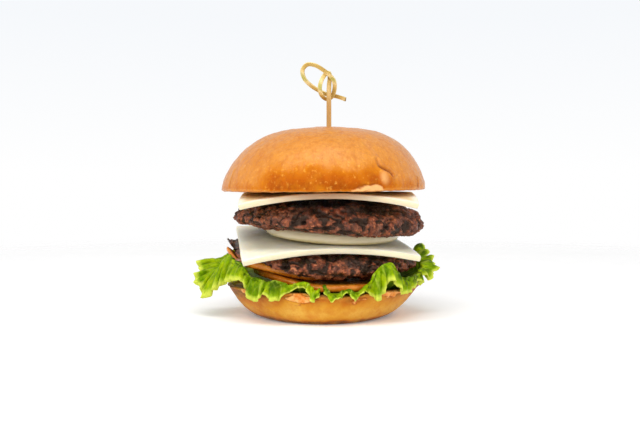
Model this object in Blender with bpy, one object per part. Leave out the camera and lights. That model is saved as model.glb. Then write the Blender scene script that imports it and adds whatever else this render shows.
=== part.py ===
"""Double hamburger on a knotted bamboo pick, at its real size.

Units are metres, +Z is up, and the origin is under the middle of the burger, on its flat base.
The front of the burger faces -Y. Each layer is one closed solid that runs through the burger.
Angles round the burger are measured from the front, positive towards +X.
"""

import math

import bmesh
import bpy
from mathutils import Vector, noise

MM = 0.001

# Buns
BASE_HALF_WIDTH = 30.4 * MM
BASE_HALF_DEPTH = 40.8 * MM
BASE_SHIFT = 1.6 * MM
BOTTOM_BUN_RADIUS = 51.7 * MM
BOTTOM_BUN_HEIGHT = 15.2 * MM
BOTTOM_BUN_FLARE = 0.475
BOTTOM_BUN_LEAN = -0.4 * MM
RIM_LIFT = 1.6 * MM
RIM_WIDTH = 4.7 * MM
TOP_BUN_RADIUS = 54.6 * MM
TOP_BUN_HEIGHT = 32.8 * MM
TOP_BUN_SIDE_ROUNDING = 3.05
TOP_BUN_CROWN_ROUNDING = 1.55
TOP_BUN_X = -0.3 * MM
TOP_BUN_LEAN = 1.3 * MM
TOP_BUN_Z = 66.7 * MM
TOP_BUN_TILT = 0.010
BUN_DENT = 0.45 * MM
BUN_DENT_SIZE = 24.0 * MM
CUT_EDGE_ROUND = 0.8 * MM

# Patties
PATTY_ROUNDING = 2.9
PATTY_TURNS = 64
PATTY_WANDER = 0.018
PATTY_RINGS = (0.2, 0.4, 0.58, 0.74, 0.87, 0.96, 0.992)
LOWER_PATTY_RADIUS = 50.0 * MM
LOWER_PATTY_X = -1.4 * MM
LOWER_PATTY_TIP = 5.5 * MM
LOWER_PATTY_TOP = 39.6 * MM
LOWER_PATTY_TOP_SLOPE = (-0.03, 0.055)
LOWER_PATTY_EDGE_FALL = 2.2 * MM
LOWER_PATTY_BOTTOM = 21.3 * MM
LOWER_PATTY_DRAPE = 1.6
UPPER_PATTY_RADIUS = 50.6 * MM
UPPER_PATTY_X = 2.2 * MM
UPPER_PATTY_TOP = 63.0 * MM
UPPER_PATTY_TOP_SLOPE = -0.02
UPPER_PATTY_EDGE_FALL = 5.5 * MM
UPPER_PATTY_BOTTOM = 43.9 * MM
UPPER_PATTY_BOTTOM_SLOPE = -0.065
SAG_START = 2.0 * MM
SAG_RUN = 14.0 * MM
SAG_DEPTH = 1.3 * MM
CRAG_LARGE = 1.5 * MM
CRAG_LARGE_SIZE = 11.0 * MM
CRAG_SMALL = 1.3 * MM
CRAG_SMALL_SIZE = 5.6 * MM

# Cheese slices: heights of the underside at 3 by 3 places, front row first, left to right
CHEESE_HALF = 45.3 * MM
CHEESE_THICKNESS = 2.9 * MM
CHEESE_CORNER = 0.015
LOWER_CHEESE_X = -1.0 * MM
LOWER_CHEESE_TURN = math.radians(6.5)
LOWER_CHEESE_HEIGHTS = ((29.6, 35.6, 31.3), (38.8, 38.6, 34.6), (42.2, 41.8, 36.2))
UPPER_CHEESE_X = 2.0 * MM
UPPER_CHEESE_HEIGHTS = ((57.2, 63.0, 57.9), (62.6, 63.2, 62.8), (58.4, 63.1, 58.0))

# Onion and tomato
ONION_RADIUS = 36.3 * MM
ONION_THICKNESS = 5.4 * MM
ONION_CENTRE = Vector((4.4 * MM, -0.7 * MM, 45.5 * MM))
ONION_SLOPE = (-0.050, 0.088)
TOMATO_THICKNESS = 3.8 * MM
LOWER_TOMATO_RADIUS = 40.0 * MM
LOWER_TOMATO_CENTRE = Vector((2.0 * MM, -6.5 * MM, 18.5 * MM))
UPPER_TOMATO_RADIUS = 26.5 * MM
UPPER_TOMATO_CENTRE = Vector((-19.5 * MM, -12.5 * MM, 22.9 * MM))
TONGUE_ANGLE = math.radians(-105.0)
TONGUE_WIDTH = 0.22
TONGUE_REACH = 7.2 * MM
TONGUE_START = 46.0 * MM
TONGUE_CURL = 1.0
TONGUE_ROOM = 3.0 * MM

# The thick fold of leaf on the left lifts what lies on it
LIFT_END = 40.0 * MM
LIFT_HEIGHT = 6.3 * MM

# Lettuce
LEAF_THICKNESS = 0.7 * MM
LEAF_BED_Z = 15.9 * MM
LEAF_INNER_RADIUS = 14.0 * MM
LEAF_ROOT_INSET = 1.0 * MM
LEAF_KNEE_RADIUS = 50.9 * MM
LEAF_KNEE_REACH = 1.8 * MM
LEAF_KNEE_DROP = 9.0
LEAF_HANGS_BELOW = 20.0
LEAF_CLIMB = 6.1 * MM
LEAF_CLEAR_RADIUS = 52.6 * MM
LEAF_SEAM = 1.2
BACK_FRILL_STEP = 8.0
BACK_CREST = (53.6, 20.5, 23.0)
BACK_TROUGH = (56.4, 13.0, 21.0)
BACK_SWAY = 1.4
STEPS_PER_ROW = 2
FRILL_STEPS = 6

# Pick
PICK_X = 2.6 * MM
PICK_TOP_Z = 130.0 * MM
PICK_LENGTH = 100.0 * MM
PICK_HALF_WIDTH = 1.3 * MM
PICK_HALF_DEPTH = 1.0 * MM
STRIP_HALF_WIDTH = 1.15 * MM
STRIP_HALF_DEPTH = 0.4 * MM
STRIP_START = 3.4
STRIP_RUN = 1.4
PICK_POINT = 0.25
PICK_POINT_RUN = 0.9
PICK_SQUARENESS = 0.7
STRIP_FACING = Vector((0.25, 0.80, 0.55))
PICK_CLEARANCE = 0.4 * MM

LAYER_GAP = 0.6 * MM
PATTY_GAP = 0.6 * MM
SHOULDER_SLOPE = 0.9
ONION_SHOULDER_START = 2.2 * MM
TOMATO_SHOULDER_START = 4.0 * MM

# Frilled margins, from the seam at the front round to the back. Each row is a crest or a trough:
# angle in degrees, then reach, height and the height of the leaf's bend in millimetres.
LEFT_MARGIN = (
    (-2.6, 51.5, 17.5, 19.5),
    (-5.9, 55.6, 12.6, 19.8),
    (-9.5, 53.0, 18.4, 21.7),
    (-14.1, 52.2, 19.5, 21.9),
    (-21.3, 54.0, 16.2, 20.9),
    (-24.2, 55.6, 13.4, 23.5),
    (-28.5, 56.0, 13.0, 24.2),
    (-34.1, 54.5, 16.0, 21.5),
    (-36.1, 55.8, 12.9, 24.1),
    (-40.9, 56.2, 12.0, 25.3),
    (-44.7, 56.0, 15.6, 24.3),
    (-48.0, 55.2, 20.6, 25.1),
    (-54.0, 56.5, 21.3, 29.0),
    (-65.0, 55.8, 18.9, 31.4),
    (-71.0, 60.5, 14.7, 34.4),
    (-78.0, 65.1, 9.5, 31.0),
    (-81.0, 66.8, 15.0, 27.4),
    (-84.0, 69.8, 17.2, 24.0),
    (-87.0, 69.5, 21.0, 24.3),
    (-89.5, 66.9, 21.6, 24.6),
    (-92.5, 69.2, 27.0, 25.4),
    (-96.0, 65.2, 25.2, 26.2),
    (-104.0, 55.6, 29.2, 26.7),
    (-108.0, 55.1, 32.5, 26.4),
    (-114.0, 56.7, 25.7, 24.8),
)
RIGHT_MARGIN = (
    (-0.4, 51.0, 19.6, 20.2),
    (2.6, 54.8, 14.0, 18.1),
    (6.0, 55.6, 13.7, 17.3),
    (9.7, 53.6, 16.1, 17.8),
    (13.5, 52.0, 16.9, 18.4),
    (16.3, 54.8, 13.5, 18.1),
    (22.5, 51.8, 17.7, 19.2),
    (29.0, 55.6, 12.6, 28.2),
    (32.6, 55.4, 17.7, 30.0),
    (36.2, 55.4, 22.2, 29.9),
    (40.3, 55.4, 20.9, 29.9),
    (45.5, 55.8, 15.2, 24.8),
    (57.0, 53.9, 16.2, 23.2),
    (65.0, 53.7, 19.9, 23.0),
    (70.0, 53.9, 17.3, 23.7),
    (75.0, 54.0, 22.0, 24.3),
    (80.0, 57.7, 19.3, 24.6),
    (84.0, 58.7, 22.6, 25.1),
    (88.0, 62.2, 24.3, 25.3),
    (92.0, 58.7, 26.0, 25.5),
    (95.0, 59.5, 29.1, 25.8),
    (98.0, 55.3, 28.0, 26.1),
    (101.0, 58.9, 32.5, 26.9),
    (107.0, 55.4, 35.9, 28.1),
    (111.0, 56.3, 29.9, 25.0),
)


def clear_scene():
    """Removes whatever the file already holds."""
    for existing in list(bpy.data.objects):
        bpy.data.objects.remove(existing)


def make_material(name, colour, roughness):
    """One Principled material."""
    material = bpy.data.materials.new(name)
    material.use_nodes = True
    shader = material.node_tree.nodes["Principled BSDF"]
    shader.inputs["Base Color"].default_value = (*colour, 1.0)
    shader.inputs["Roughness"].default_value = roughness
    shader.inputs["Metallic"].default_value = 0.0
    return material


def make_object(name, form, material):
    """Turns a bmesh into a named, smooth-shaded object."""
    bmesh.ops.recalc_face_normals(form, faces=form.faces)
    mesh = bpy.data.meshes.new(name)
    form.to_mesh(mesh)
    form.free()
    mesh.shade_smooth()
    mesh.set_sharp_from_angle(angle=math.radians(50))
    mesh.materials.append(material)
    made = bpy.data.objects.new(name, mesh)
    bpy.context.scene.collection.objects.link(made)
    return made


def stacked_rings(top, rings, bottom):
    """A closed form from rings of points, each with the same count, and a pole at each end."""
    form = bmesh.new()
    first_pole = form.verts.new(top)
    rows = [[form.verts.new(point) for point in ring] for ring in rings]
    last_pole = form.verts.new(bottom)
    count = len(rows[0])
    for index in range(count):
        after = (index + 1) % count
        form.faces.new((first_pole, rows[0][index], rows[0][after]))
        form.faces.new((last_pole, rows[-1][after], rows[-1][index]))
        for upper, lower in zip(rows, rows[1:]):
            form.faces.new((upper[index], lower[index], lower[after], upper[after]))
    return form


def thick_sheet(rows, thickness):
    """A closed sheet on a grid of points; both its faces are split into the same triangles."""
    form = bmesh.new()
    last_row, last = len(rows) - 1, len(rows[0]) - 1
    faces = ([], [])
    for j, row in enumerate(rows):
        for i, point in enumerate(row):
            along = Vector(row[min(i + 1, last)]) - Vector(row[max(i - 1, 0)])
            across = Vector(rows[min(j + 1, last_row)][i]) - Vector(rows[max(j - 1, 0)][i])
            normal = along.cross(across).normalized() * thickness / 2
            faces[0].append(form.verts.new(Vector(point) + normal))
            faces[1].append(form.verts.new(Vector(point) - normal))
    width = last + 1
    for j in range(last_row):
        for i in range(last):
            corners = (j * width + i, j * width + i + 1, (j + 1) * width + i + 1, (j + 1) * width + i)
            for side in faces:
                form.faces.new([side[corners[k]] for k in (0, 1, 2)])
                form.faces.new([side[corners[k]] for k in (0, 2, 3)])
    rim = [i for i in range(last)] + [j * width + last for j in range(last_row)]
    rim += [last_row * width + i for i in range(last, 0, -1)] + [j * width for j in range(last_row, 0, -1)]
    for here, after in zip(rim, rim[1:] + rim[:1]):
        form.faces.new((faces[0][here], faces[1][here], faces[1][after]))
        form.faces.new((faces[0][here], faces[1][after], faces[0][after]))
    return form


def rough(point, size, seed):
    """Smooth noise from -1 to 1, with lumps of about that size."""
    return noise.noise(Vector(point) / size + Vector((seed, seed * 0.7, -seed)))


def around(angle, radius, z, centre=(0.0, 0.0)):
    """A point at that angle from the front, in radians, and at that radius."""
    return Vector((centre[0] + radius * math.sin(angle), centre[1] - radius * math.cos(angle), z))


def full_turn(count):
    return [2 * math.pi * index / count for index in range(count)]


def rise_between(start, end, value):
    """0 up to the start, 1 from the end on, and a soft ramp between them."""
    share = max(0.0, min(1.0, (value - start) / (end - start)))
    return share**2 * (3 - 2 * share)


def lift(x):
    """How far the fold of leaf on the left raises what lies on it."""
    return LIFT_HEIGHT * rise_between(0, LIFT_END, -x)


def quadratic_weights(t):
    """The weights of three values at -1, 0 and 1 for a parabola through them."""
    return (t * (t - 1) / 2, 1 - t * t, t * (t + 1) / 2)


def cheese_underside(heights, u, v):
    """Height of a draped slice's underside, where u and v run from -1 to 1 over the square."""
    across = quadratic_weights(max(-1.15, min(1.15, u)))
    deep = quadratic_weights(max(-1.15, min(1.15, v)))
    return MM * sum(deep[j] * across[i] * heights[j][i] for j in range(3) for i in range(3))


def lower_cheese_square(x, y):
    """The place on the lower slice, from -1 to 1 along its two sides."""
    cosine, sine = math.cos(LOWER_CHEESE_TURN), math.sin(LOWER_CHEESE_TURN)
    across = (x - LOWER_CHEESE_X) * cosine + y * sine
    deep = y * cosine - (x - LOWER_CHEESE_X) * sine
    return across / CHEESE_HALF, deep / CHEESE_HALF


def lower_cheese_underside(x, y):
    u, v = lower_cheese_square(x, y)
    return cheese_underside(LOWER_CHEESE_HEIGHTS, u, v)


def upper_cheese_underside(x, y):
    return cheese_underside(UPPER_CHEESE_HEIGHTS, (x - UPPER_CHEESE_X) / CHEESE_HALF, y / CHEESE_HALF)


def onion_middle(x, y):
    """Height of the onion's middle plane, which leans to the front and right."""
    from_centre = (x - ONION_CENTRE.x, y - ONION_CENTRE.y)
    return ONION_CENTRE.z + ONION_SLOPE[0] * from_centre[0] + ONION_SLOPE[1] * from_centre[1]


def onion_top_with_shoulder(x, y):
    """The onion's top, falling away outside its rim: what the upper patty is bent over."""
    outside = math.hypot(x - ONION_CENTRE.x, y - ONION_CENTRE.y) - ONION_RADIUS
    fall = SHOULDER_SLOPE * max(0.0, outside - ONION_SHOULDER_START)
    return onion_middle(x, y) + ONION_THICKNESS / 2 - fall


def lower_tomato_middle(x, y):
    return LOWER_TOMATO_CENTRE.z + lift(x)


def upper_tomato_middle(x, y, curl_start=TONGUE_START):
    """The upper slice lies on the lower one; its corner on the left curls up."""
    return UPPER_TOMATO_CENTRE.z + lift(x) + TONGUE_CURL * max(0.0, -x - curl_start)


def tongue(angle, width=TONGUE_WIDTH):
    """How far the upper tomato's corner sticks out at that angle round its centre."""
    away = math.remainder(angle - TONGUE_ANGLE, 2 * math.pi)
    return TONGUE_REACH * math.exp(-((away / width) ** 2))


def tomatoes_top(x, y):
    """What the lower patty lies on, with a shoulder where it sags over the upper slice's rim."""
    across, deep = x - UPPER_TOMATO_CENTRE.x, y - UPPER_TOMATO_CENTRE.y
    rim = UPPER_TOMATO_RADIUS + tongue(math.atan2(across, -deep), 2 * TONGUE_WIDTH)
    outside = math.hypot(across, deep) - rim
    middle = upper_tomato_middle(x, y, TONGUE_START - TONGUE_ROOM)
    upper = middle - SHOULDER_SLOPE * max(0.0, outside - TOMATO_SHOULDER_START)
    return max(lower_tomato_middle(x, y), upper) + TOMATO_THICKNESS / 2


def top_bun(material):
    """A domed bun with a flat cut underside."""
    turns, arcs = 50, 11
    rings = []
    for step in range(1, arcs + 1):
        turn = math.pi / 2 * step / arcs
        radius = TOP_BUN_RADIUS * math.sin(turn) ** (2 / TOP_BUN_SIDE_ROUNDING)
        height = TOP_BUN_HEIGHT * max(0.0, math.cos(turn)) ** (2 / TOP_BUN_CROWN_ROUNDING)
        rings.append([dome_point(angle, radius, height) for angle in full_turn(turns)])
    for inset, rise in ((0.4, -0.7), (2.2, -1.0)):
        radius = TOP_BUN_RADIUS - inset * CUT_EDGE_ROUND
        rings.append([dome_point(angle, radius, rise * CUT_EDGE_ROUND) for angle in full_turn(turns)])
    pole = dome_point(0.0, 0.0, TOP_BUN_HEIGHT)
    under = dome_point(0.0, 0.0, -CUT_EDGE_ROUND)
    return make_object("top_bun", stacked_rings(pole, rings, under), material)


def dome_point(angle, radius, height):
    """A point of the top bun, height above its cut, with its lean, tilt and shallow dents."""
    share = max(0.0, height) / TOP_BUN_HEIGHT
    point = around(angle, radius, height, (TOP_BUN_X + TOP_BUN_LEAN * share, 0.0))
    outward = Vector((math.sin(angle) * radius, -math.cos(angle) * radius, height * 2))
    if height > 0 and radius > 0:
        point += outward.normalized() * BUN_DENT * rough(point, BUN_DENT_SIZE, 3.1)
    point.z += TOP_BUN_Z + CUT_EDGE_ROUND + TOP_BUN_TILT * point.x
    return point


def rim_height(angle):
    """The bottom bun's rim stands up a little, except at the front, where the leaves press it down."""
    degrees = math.degrees(math.remainder(angle, 2 * math.pi))
    free = rise_between(3, 12, -degrees) + rise_between(18, 32, degrees)
    return BOTTOM_BUN_HEIGHT + RIM_LIFT * free


def base_radius(angle):
    """The flat base is an oval, deeper than it is wide."""
    across, deep = math.sin(angle) / BASE_HALF_WIDTH, math.cos(angle) / BASE_HALF_DEPTH
    return 1 / math.hypot(across, deep) - BASE_SHIFT * math.sin(angle)


def bottom_bun(material):
    """A shallow bowl of bread: flat oval base, flared side and a cut top with a raised rim."""
    turns, steps = 50, 7
    rim_ring, bed_ring = [], []
    for angle in full_turn(turns):
        rim_ring.append(around(angle, BOTTOM_BUN_RADIUS - 2.2 * CUT_EDGE_ROUND, rim_height(angle)))
        bed_ring.append(around(angle, BOTTOM_BUN_RADIUS - RIM_WIDTH, BOTTOM_BUN_HEIGHT))
    rings = [bed_ring, rim_ring]
    for step in range(steps, -1, -1):
        level = (step / steps) ** 1.4
        ring = []
        for angle in full_turn(turns):
            foot = base_radius(angle)
            radius = foot + (BOTTOM_BUN_RADIUS - foot) * level**BOTTOM_BUN_FLARE
            height = rim_height(angle) * level - (0.6 * CUT_EDGE_ROUND if step == steps else 0)
            point = around(angle, radius, height, (BOTTOM_BUN_LEAN * level, 0.0))
            dent = BUN_DENT * rough(point, BUN_DENT_SIZE, 7.7) if step else 0.0
            ring.append(point + around(angle, dent, 0.0))
        rings.append(ring)
    top = Vector((0.0, 0.0, BOTTOM_BUN_HEIGHT))
    return make_object("bottom_bun", stacked_rings(top, rings, Vector((0.0, 0.0, 0.0))), material)


def craggy_disc(name, material, radius, centre_x, top, bottom, ceiling, floor, seed):
    """A hand-formed patty: rounded rim and crags, kept between the layers above and below it."""

    def place(angle, reach, rise):
        flat = around(angle, reach, 0.0, (centre_x, 0.0))
        high, low = top(flat.x, flat.y), bottom(flat.x, flat.y)
        point = Vector((flat.x, flat.y, (high + low) / 2 + rise * (high - low) / 2))
        outward = around(angle, 1.0 if reach else 0.0, rise)
        crag = CRAG_LARGE * rough(point, CRAG_LARGE_SIZE, seed)
        crag += CRAG_SMALL * rough(point, CRAG_SMALL_SIZE, -seed)
        point += outward.normalized() * crag
        highest = ceiling(point.x, point.y) - LAYER_GAP
        lowest = floor(point.x, point.y) + PATTY_GAP
        point.z = max(min(point.z, highest), lowest)
        return point

    rises = [(share, (1 - share**PATTY_ROUNDING) ** (1 / PATTY_ROUNDING)) for share in PATTY_RINGS]
    rings = []
    for share, rise in rises + [(1.0, 0.0)] + [(share, -rise) for share, rise in reversed(rises)]:
        ring = []
        for angle in full_turn(PATTY_TURNS):
            wander = PATTY_WANDER * rough((math.sin(angle), math.cos(angle), 0), 0.5, seed)
            ring.append(place(angle, radius * (1 + wander) * share, rise))
        rings.append(ring)
    return make_object(name, stacked_rings(place(0, 0, 1), rings, place(0, 0, -1)), material)


def lower_patty(material):
    def tip(x):
        return LOWER_PATTY_TIP * max(0.0, -x / LOWER_PATTY_RADIUS) ** 6

    def top(x, y):
        fall = LOWER_PATTY_EDGE_FALL * (math.hypot(x, y) / LOWER_PATTY_RADIUS) ** 3
        slope = LOWER_PATTY_TOP_SLOPE[0] * x + LOWER_PATTY_TOP_SLOPE[1] * y
        return LOWER_PATTY_TOP + slope - fall + tip(x)

    def bottom(x, y):
        return LOWER_PATTY_BOTTOM + 0.4 * lift(x) + tip(x)

    def ceiling(x, y):
        past = (max(abs(place) for place in lower_cheese_square(x, y)) - 1) * CHEESE_HALF
        return lower_cheese_underside(x, y) + LOWER_PATTY_DRAPE * max(0.0, past - 2.2 * MM)

    return craggy_disc("patty_lower", material, LOWER_PATTY_RADIUS, LOWER_PATTY_X, top, bottom,
                       ceiling, tomatoes_top, 11.3)


def upper_patty(material):
    def top(x, y):
        away = math.hypot(x - UPPER_PATTY_X, y) / UPPER_PATTY_RADIUS
        return UPPER_PATTY_TOP - UPPER_PATTY_EDGE_FALL * away**4 + UPPER_PATTY_TOP_SLOPE * x

    def bottom(x, y):
        sag = SAG_DEPTH * rise_between(0, SAG_RUN, x - SAG_START)
        return UPPER_PATTY_BOTTOM + UPPER_PATTY_BOTTOM_SLOPE * x - sag

    def floor(x, y):
        return max(onion_top_with_shoulder(x, y), lower_cheese_underside(x, y) + CHEESE_THICKNESS)

    return craggy_disc("patty_upper", material, UPPER_PATTY_RADIUS, UPPER_PATTY_X, top, bottom,
                       upper_cheese_underside, floor, 5.9)


def cheese_slice(name, material, centre_x, turn, heights):
    """A square slice with small round corners, draped over what is under it."""
    steps = 10
    cosine, sine = math.cos(turn), math.sin(turn)
    rows = []
    for j in range(steps + 1):
        row = []
        for i in range(steps + 1):
            u, v = 2 * i / steps - 1, 2 * j / steps - 1
            pull = 1 - CHEESE_CORNER * (abs(u * v)) ** 8
            x, y = CHEESE_HALF * u * pull, CHEESE_HALF * v * pull
            z = cheese_underside(heights, u, v) + CHEESE_THICKNESS / 2
            row.append((centre_x + x * cosine - y * sine, x * sine + y * cosine, z))
        rows.append(row)
    return make_object(name, thick_sheet(rows, CHEESE_THICKNESS), material)


def round_slice(name, material, radius, thickness, middle, centre, bulge, corner=None):
    """A round slice of vegetable: flat faces, rounded rim, laid on the surface that middle gives."""
    turns = 42
    rim = ((0.94, 1.0), (0.985, 0.72), (1.0, 0.0), (0.985, -0.72), (0.94, -1.0))
    profile = ((0.4, 1.0), (0.7, 1.0), *rim, (0.7, -1.0), (0.4, -1.0))
    rings = []
    for share, rise in profile:
        ring = []
        for angle in full_turn(turns):
            wave = 1 + bulge * math.sin(3 * angle + 0.6) + 0.5 * bulge * math.sin(5 * angle)
            reach = radius * wave + (corner(angle) if corner else 0.0)
            flat = around(angle, reach * share, 0.0, centre)
            ring.append((flat.x, flat.y, middle(flat.x, flat.y) + rise * thickness / 2))
        rings.append(ring)
    heights = [middle(centre.x, centre.y) + side * thickness / 2 for side in (1, -1)]
    poles = [Vector((centre.x, centre.y, height)) for height in heights]
    return make_object(name, stacked_rings(poles[0], rings, poles[1]), material)


def rim_distance(angle):
    """How far the lower tomato's rim is from the burger's axis at that angle."""
    towards = around(angle, 1.0, 0.0)
    offset = Vector((LOWER_TOMATO_CENTRE.x, LOWER_TOMATO_CENTRE.y, 0.0))
    along = offset.dot(towards)
    return along + math.sqrt(LOWER_TOMATO_RADIUS**2 - offset.length_squared + along**2)


def back_margin(last, side):
    """The unseen back of a margin: even frills from the last row round to the seam at the back."""
    rows, angle, crest = [], abs(last[0]) + BACK_FRILL_STEP, True
    while angle < 180 - LEAF_SEAM - BACK_FRILL_STEP / 2:
        sway = BACK_SWAY * math.sin(angle * 0.37 + side)
        reach, height, bend = BACK_CREST if crest else BACK_TROUGH
        rows.append((side * angle, reach + sway, height + sway, bend))
        angle, crest = angle + BACK_FRILL_STEP, not crest
    rows.append((side * (180 - LEAF_SEAM), 54.0, 16.0, 20.0))
    return rows


def spline_point(rows, t):
    """A Catmull-Rom curve through the rows, at t from 0 to the number of rows less one."""
    index = min(int(t), len(rows) - 2)
    local = t - index
    ends = [rows[max(0, min(len(rows) - 1, index + k))] for k in (-1, 0, 1, 2)]
    a, b, c, d = (Vector(row) for row in ends)
    return 0.5 * (2 * b + (c - a) * local + (2 * a - 5 * b + 4 * c - d) * local**2
                  + (3 * b - a - 3 * c + d) * local**3)


def calmed(rows):
    """The rows with each angle drawn towards its neighbours', for the leaf's root."""
    inner = [(a[0] + 2 * b[0] + c[0]) / 4 for a, b, c in zip(rows, rows[1:], rows[2:])]
    return [(angle, 0.0) for angle in (rows[0][0], *inner, rows[-1][0])]


def leaf(name, material, margin, side):
    """A frilled leaf: a flat bed under the tomato, then frills that rise and hang over the bun's rim."""
    edges = list(margin) + back_margin(margin[-1], side)
    roots = calmed(edges)
    rows = []
    for step in range(STEPS_PER_ROW * (len(edges) - 1) + 1):
        edge = spline_point(edges, step / STEPS_PER_ROW)
        root_angle = math.radians(spline_point(roots, step / STEPS_PER_ROW)[0])
        rows.append(leaf_row(root_angle, math.radians(edge[0]), *edge[1:]))
    return make_object(name, thick_sheet(rows, LEAF_THICKNESS), material)


def leaf_row(root_angle, edge_angle, reach, height, bend):
    """Points from a leaf's inner edge to its margin, over the bend; lengths in millimetres."""
    root_radius = rim_distance(root_angle) - LEAF_ROOT_INSET
    hanging = max(0.0, min(1.0, (LEAF_HANGS_BELOW - height) / 5))
    knee_radius = LEAF_KNEE_RADIUS + LEAF_KNEE_REACH * hanging
    root = around(root_angle, root_radius, LEAF_BED_Z)
    knee = around((root_angle + edge_angle) / 2, knee_radius, 2 * (bend - LEAF_KNEE_DROP) * MM)
    tip = around(edge_angle, reach * MM, height * MM)
    row = [around(root_angle, LEAF_INNER_RADIUS, LEAF_BED_Z)]
    for k in range(FRILL_STEPS + 1):
        v = k / FRILL_STEPS
        point = root * (1 - v) ** 2 + knee * 2 * v * (1 - v) + tip * v**2
        climb = max(0.0, min(1.0, (point.z - LEAF_BED_Z) / LEAF_CLIMB))
        clear = root_radius + (LEAF_CLEAR_RADIUS - root_radius) * climb
        outward = max(1.0, clear / math.hypot(point.x, point.y))
        row.append(Vector((point.x * outward, point.y * outward, point.z)))
    return row


def pick_route():
    """Points along the pick, from its tip in the lower patty up to the knot and its tail."""
    x, top = PICK_X, PICK_TOP_Z
    shaft = [(x, 0.0, top - PICK_LENGTH + 25 * MM * k) for k in range(4)] + [(x, 0.0, top - 9.0 * MM)]
    knot = (
        (0.4, -0.2, -3.4), (0.1, -1.2, -0.6), (-1.6, -2.2, -0.9), (-3.9, -2.4, -4.4), (-4.9, -1.4, -8.6),
        (-3.8, 0.8, -12.4), (-1.0, 3.6, -14.2), (1.9, 3.2, -12.4), (3.1, 1.0, -8.4), (2.6, -1.8, -4.6),
        (0.2, -3.4, -1.9), (-3.2, -3.6, 0.9), (-7.4, -2.6, 3.4), (-11.6, -0.8, 4.0), (-14.2, 1.2, 1.2),
        (-13.2, 3.0, -3.2), (-9.6, 4.4, -6.8), (-5.4, 5.2, -9.4), (-0.6, 5.6, -11.6), (4.2, 4.6, -12.6),
        (9.2, 3.0, -14.4),
    )
    return shaft + [(x + dx * MM, dy * MM, top + dz * MM) for dx, dy, dz in knot]


def pick(material):
    """The bamboo pick: a stiff shaft whose shaved top is tied in a flat knot."""
    route = pick_route()
    count, sides = 3 * (len(route) - 1), 6
    rings = []
    for step in range(count + 1):
        t = step / 3
        middle = spline_point(route, t)
        ahead = spline_point(route, min(t + 0.05, len(route) - 1)) - spline_point(route, max(t - 0.05, 0))
        along = ahead.normalized()
        shaved = max(0.0, min(1.0, (t - STRIP_START) / STRIP_RUN))
        facing = Vector((0.0, 1.0, 0.0)).lerp(STRIP_FACING, shaved)
        across = facing.cross(along).normalized()
        thick = along.cross(across)
        taper = min(1.0, PICK_POINT + t * PICK_POINT_RUN)
        wide = taper * (PICK_HALF_WIDTH + (STRIP_HALF_WIDTH - PICK_HALF_WIDTH) * shaved)
        deep = taper * (PICK_HALF_DEPTH + (STRIP_HALF_DEPTH - PICK_HALF_DEPTH) * shaved)
        ring = []
        for k in range(sides):
            turn = 2 * math.pi * (k + 0.5) / sides
            cosine, sine = math.cos(turn), math.sin(turn)
            square = 1 / max(abs(cosine), abs(sine)) ** PICK_SQUARENESS
            ring.append(middle + across * wide * cosine * square + thick * deep * sine * square)
        rings.append(ring)
    first = sum(rings[0], Vector()) / sides
    last = sum(rings[-1], Vector()) / sides
    return make_object("pick", stacked_rings(first, rings, last), material)


def bore_for_pick(layers):
    """Cuts the pick's channel through the layers that it holds together."""
    form = bmesh.new()
    bmesh.ops.create_cone(form, cap_ends=True, segments=12, radius1=PICK_HALF_WIDTH + PICK_CLEARANCE,
                          radius2=PICK_HALF_WIDTH + PICK_CLEARANCE, depth=PICK_LENGTH)
    cutter = make_object("pick_channel", form, layers[0].data.materials[0])
    cutter.location = (PICK_X, 0.0, PICK_TOP_Z - PICK_LENGTH / 2 - 1.0 * MM)
    cutter.hide_render = True
    cutter.display_type = "WIRE"
    for layer in layers:
        channel = layer.modifiers.new("pick channel", "BOOLEAN")
        channel.operation = "DIFFERENCE"
        channel.solver = "EXACT"
        channel.object = cutter


def main():
    clear_scene()
    crust = make_material("bun_crust", (0.80, 0.36, 0.09), 0.35)
    pale_crust = make_material("bun_base_crust", (0.76, 0.42, 0.14), 0.45)
    meat = make_material("grilled_meat", (0.13, 0.06, 0.04), 0.5)
    cheese = make_material("white_cheese", (0.90, 0.86, 0.72), 0.35)
    onion_flesh = make_material("onion_flesh", (0.80, 0.76, 0.60), 0.3)
    tomato_flesh = make_material("tomato_flesh", (0.55, 0.17, 0.05), 0.3)
    leaf_green = make_material("lettuce_green", (0.28, 0.50, 0.04), 0.4)
    bamboo = make_material("bamboo", (0.66, 0.45, 0.20), 0.5)

    bottom_bun(pale_crust)
    leaf("lettuce_left", leaf_green, LEFT_MARGIN, -1)
    leaf("lettuce_right", leaf_green, RIGHT_MARGIN, 1)
    round_slice("tomato_lower", tomato_flesh, LOWER_TOMATO_RADIUS, TOMATO_THICKNESS, lower_tomato_middle,
                LOWER_TOMATO_CENTRE, 0.006)
    round_slice("tomato_upper", tomato_flesh, UPPER_TOMATO_RADIUS, TOMATO_THICKNESS, upper_tomato_middle,
                UPPER_TOMATO_CENTRE, 0.008, tongue)
    held = [
        lower_patty(meat),
        cheese_slice("cheese_lower", cheese, LOWER_CHEESE_X, LOWER_CHEESE_TURN, LOWER_CHEESE_HEIGHTS),
        round_slice("onion", onion_flesh, ONION_RADIUS, ONION_THICKNESS, onion_middle, ONION_CENTRE, 0.010),
        upper_patty(meat),
        cheese_slice("cheese_upper", cheese, UPPER_CHEESE_X, 0.0, UPPER_CHEESE_HEIGHTS),
        top_bun(crust),
    ]
    pick(bamboo)
    bore_for_pick(held)


main()
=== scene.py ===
import itertools
import math

import bpy
import numpy as np
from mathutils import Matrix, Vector, noise


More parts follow.
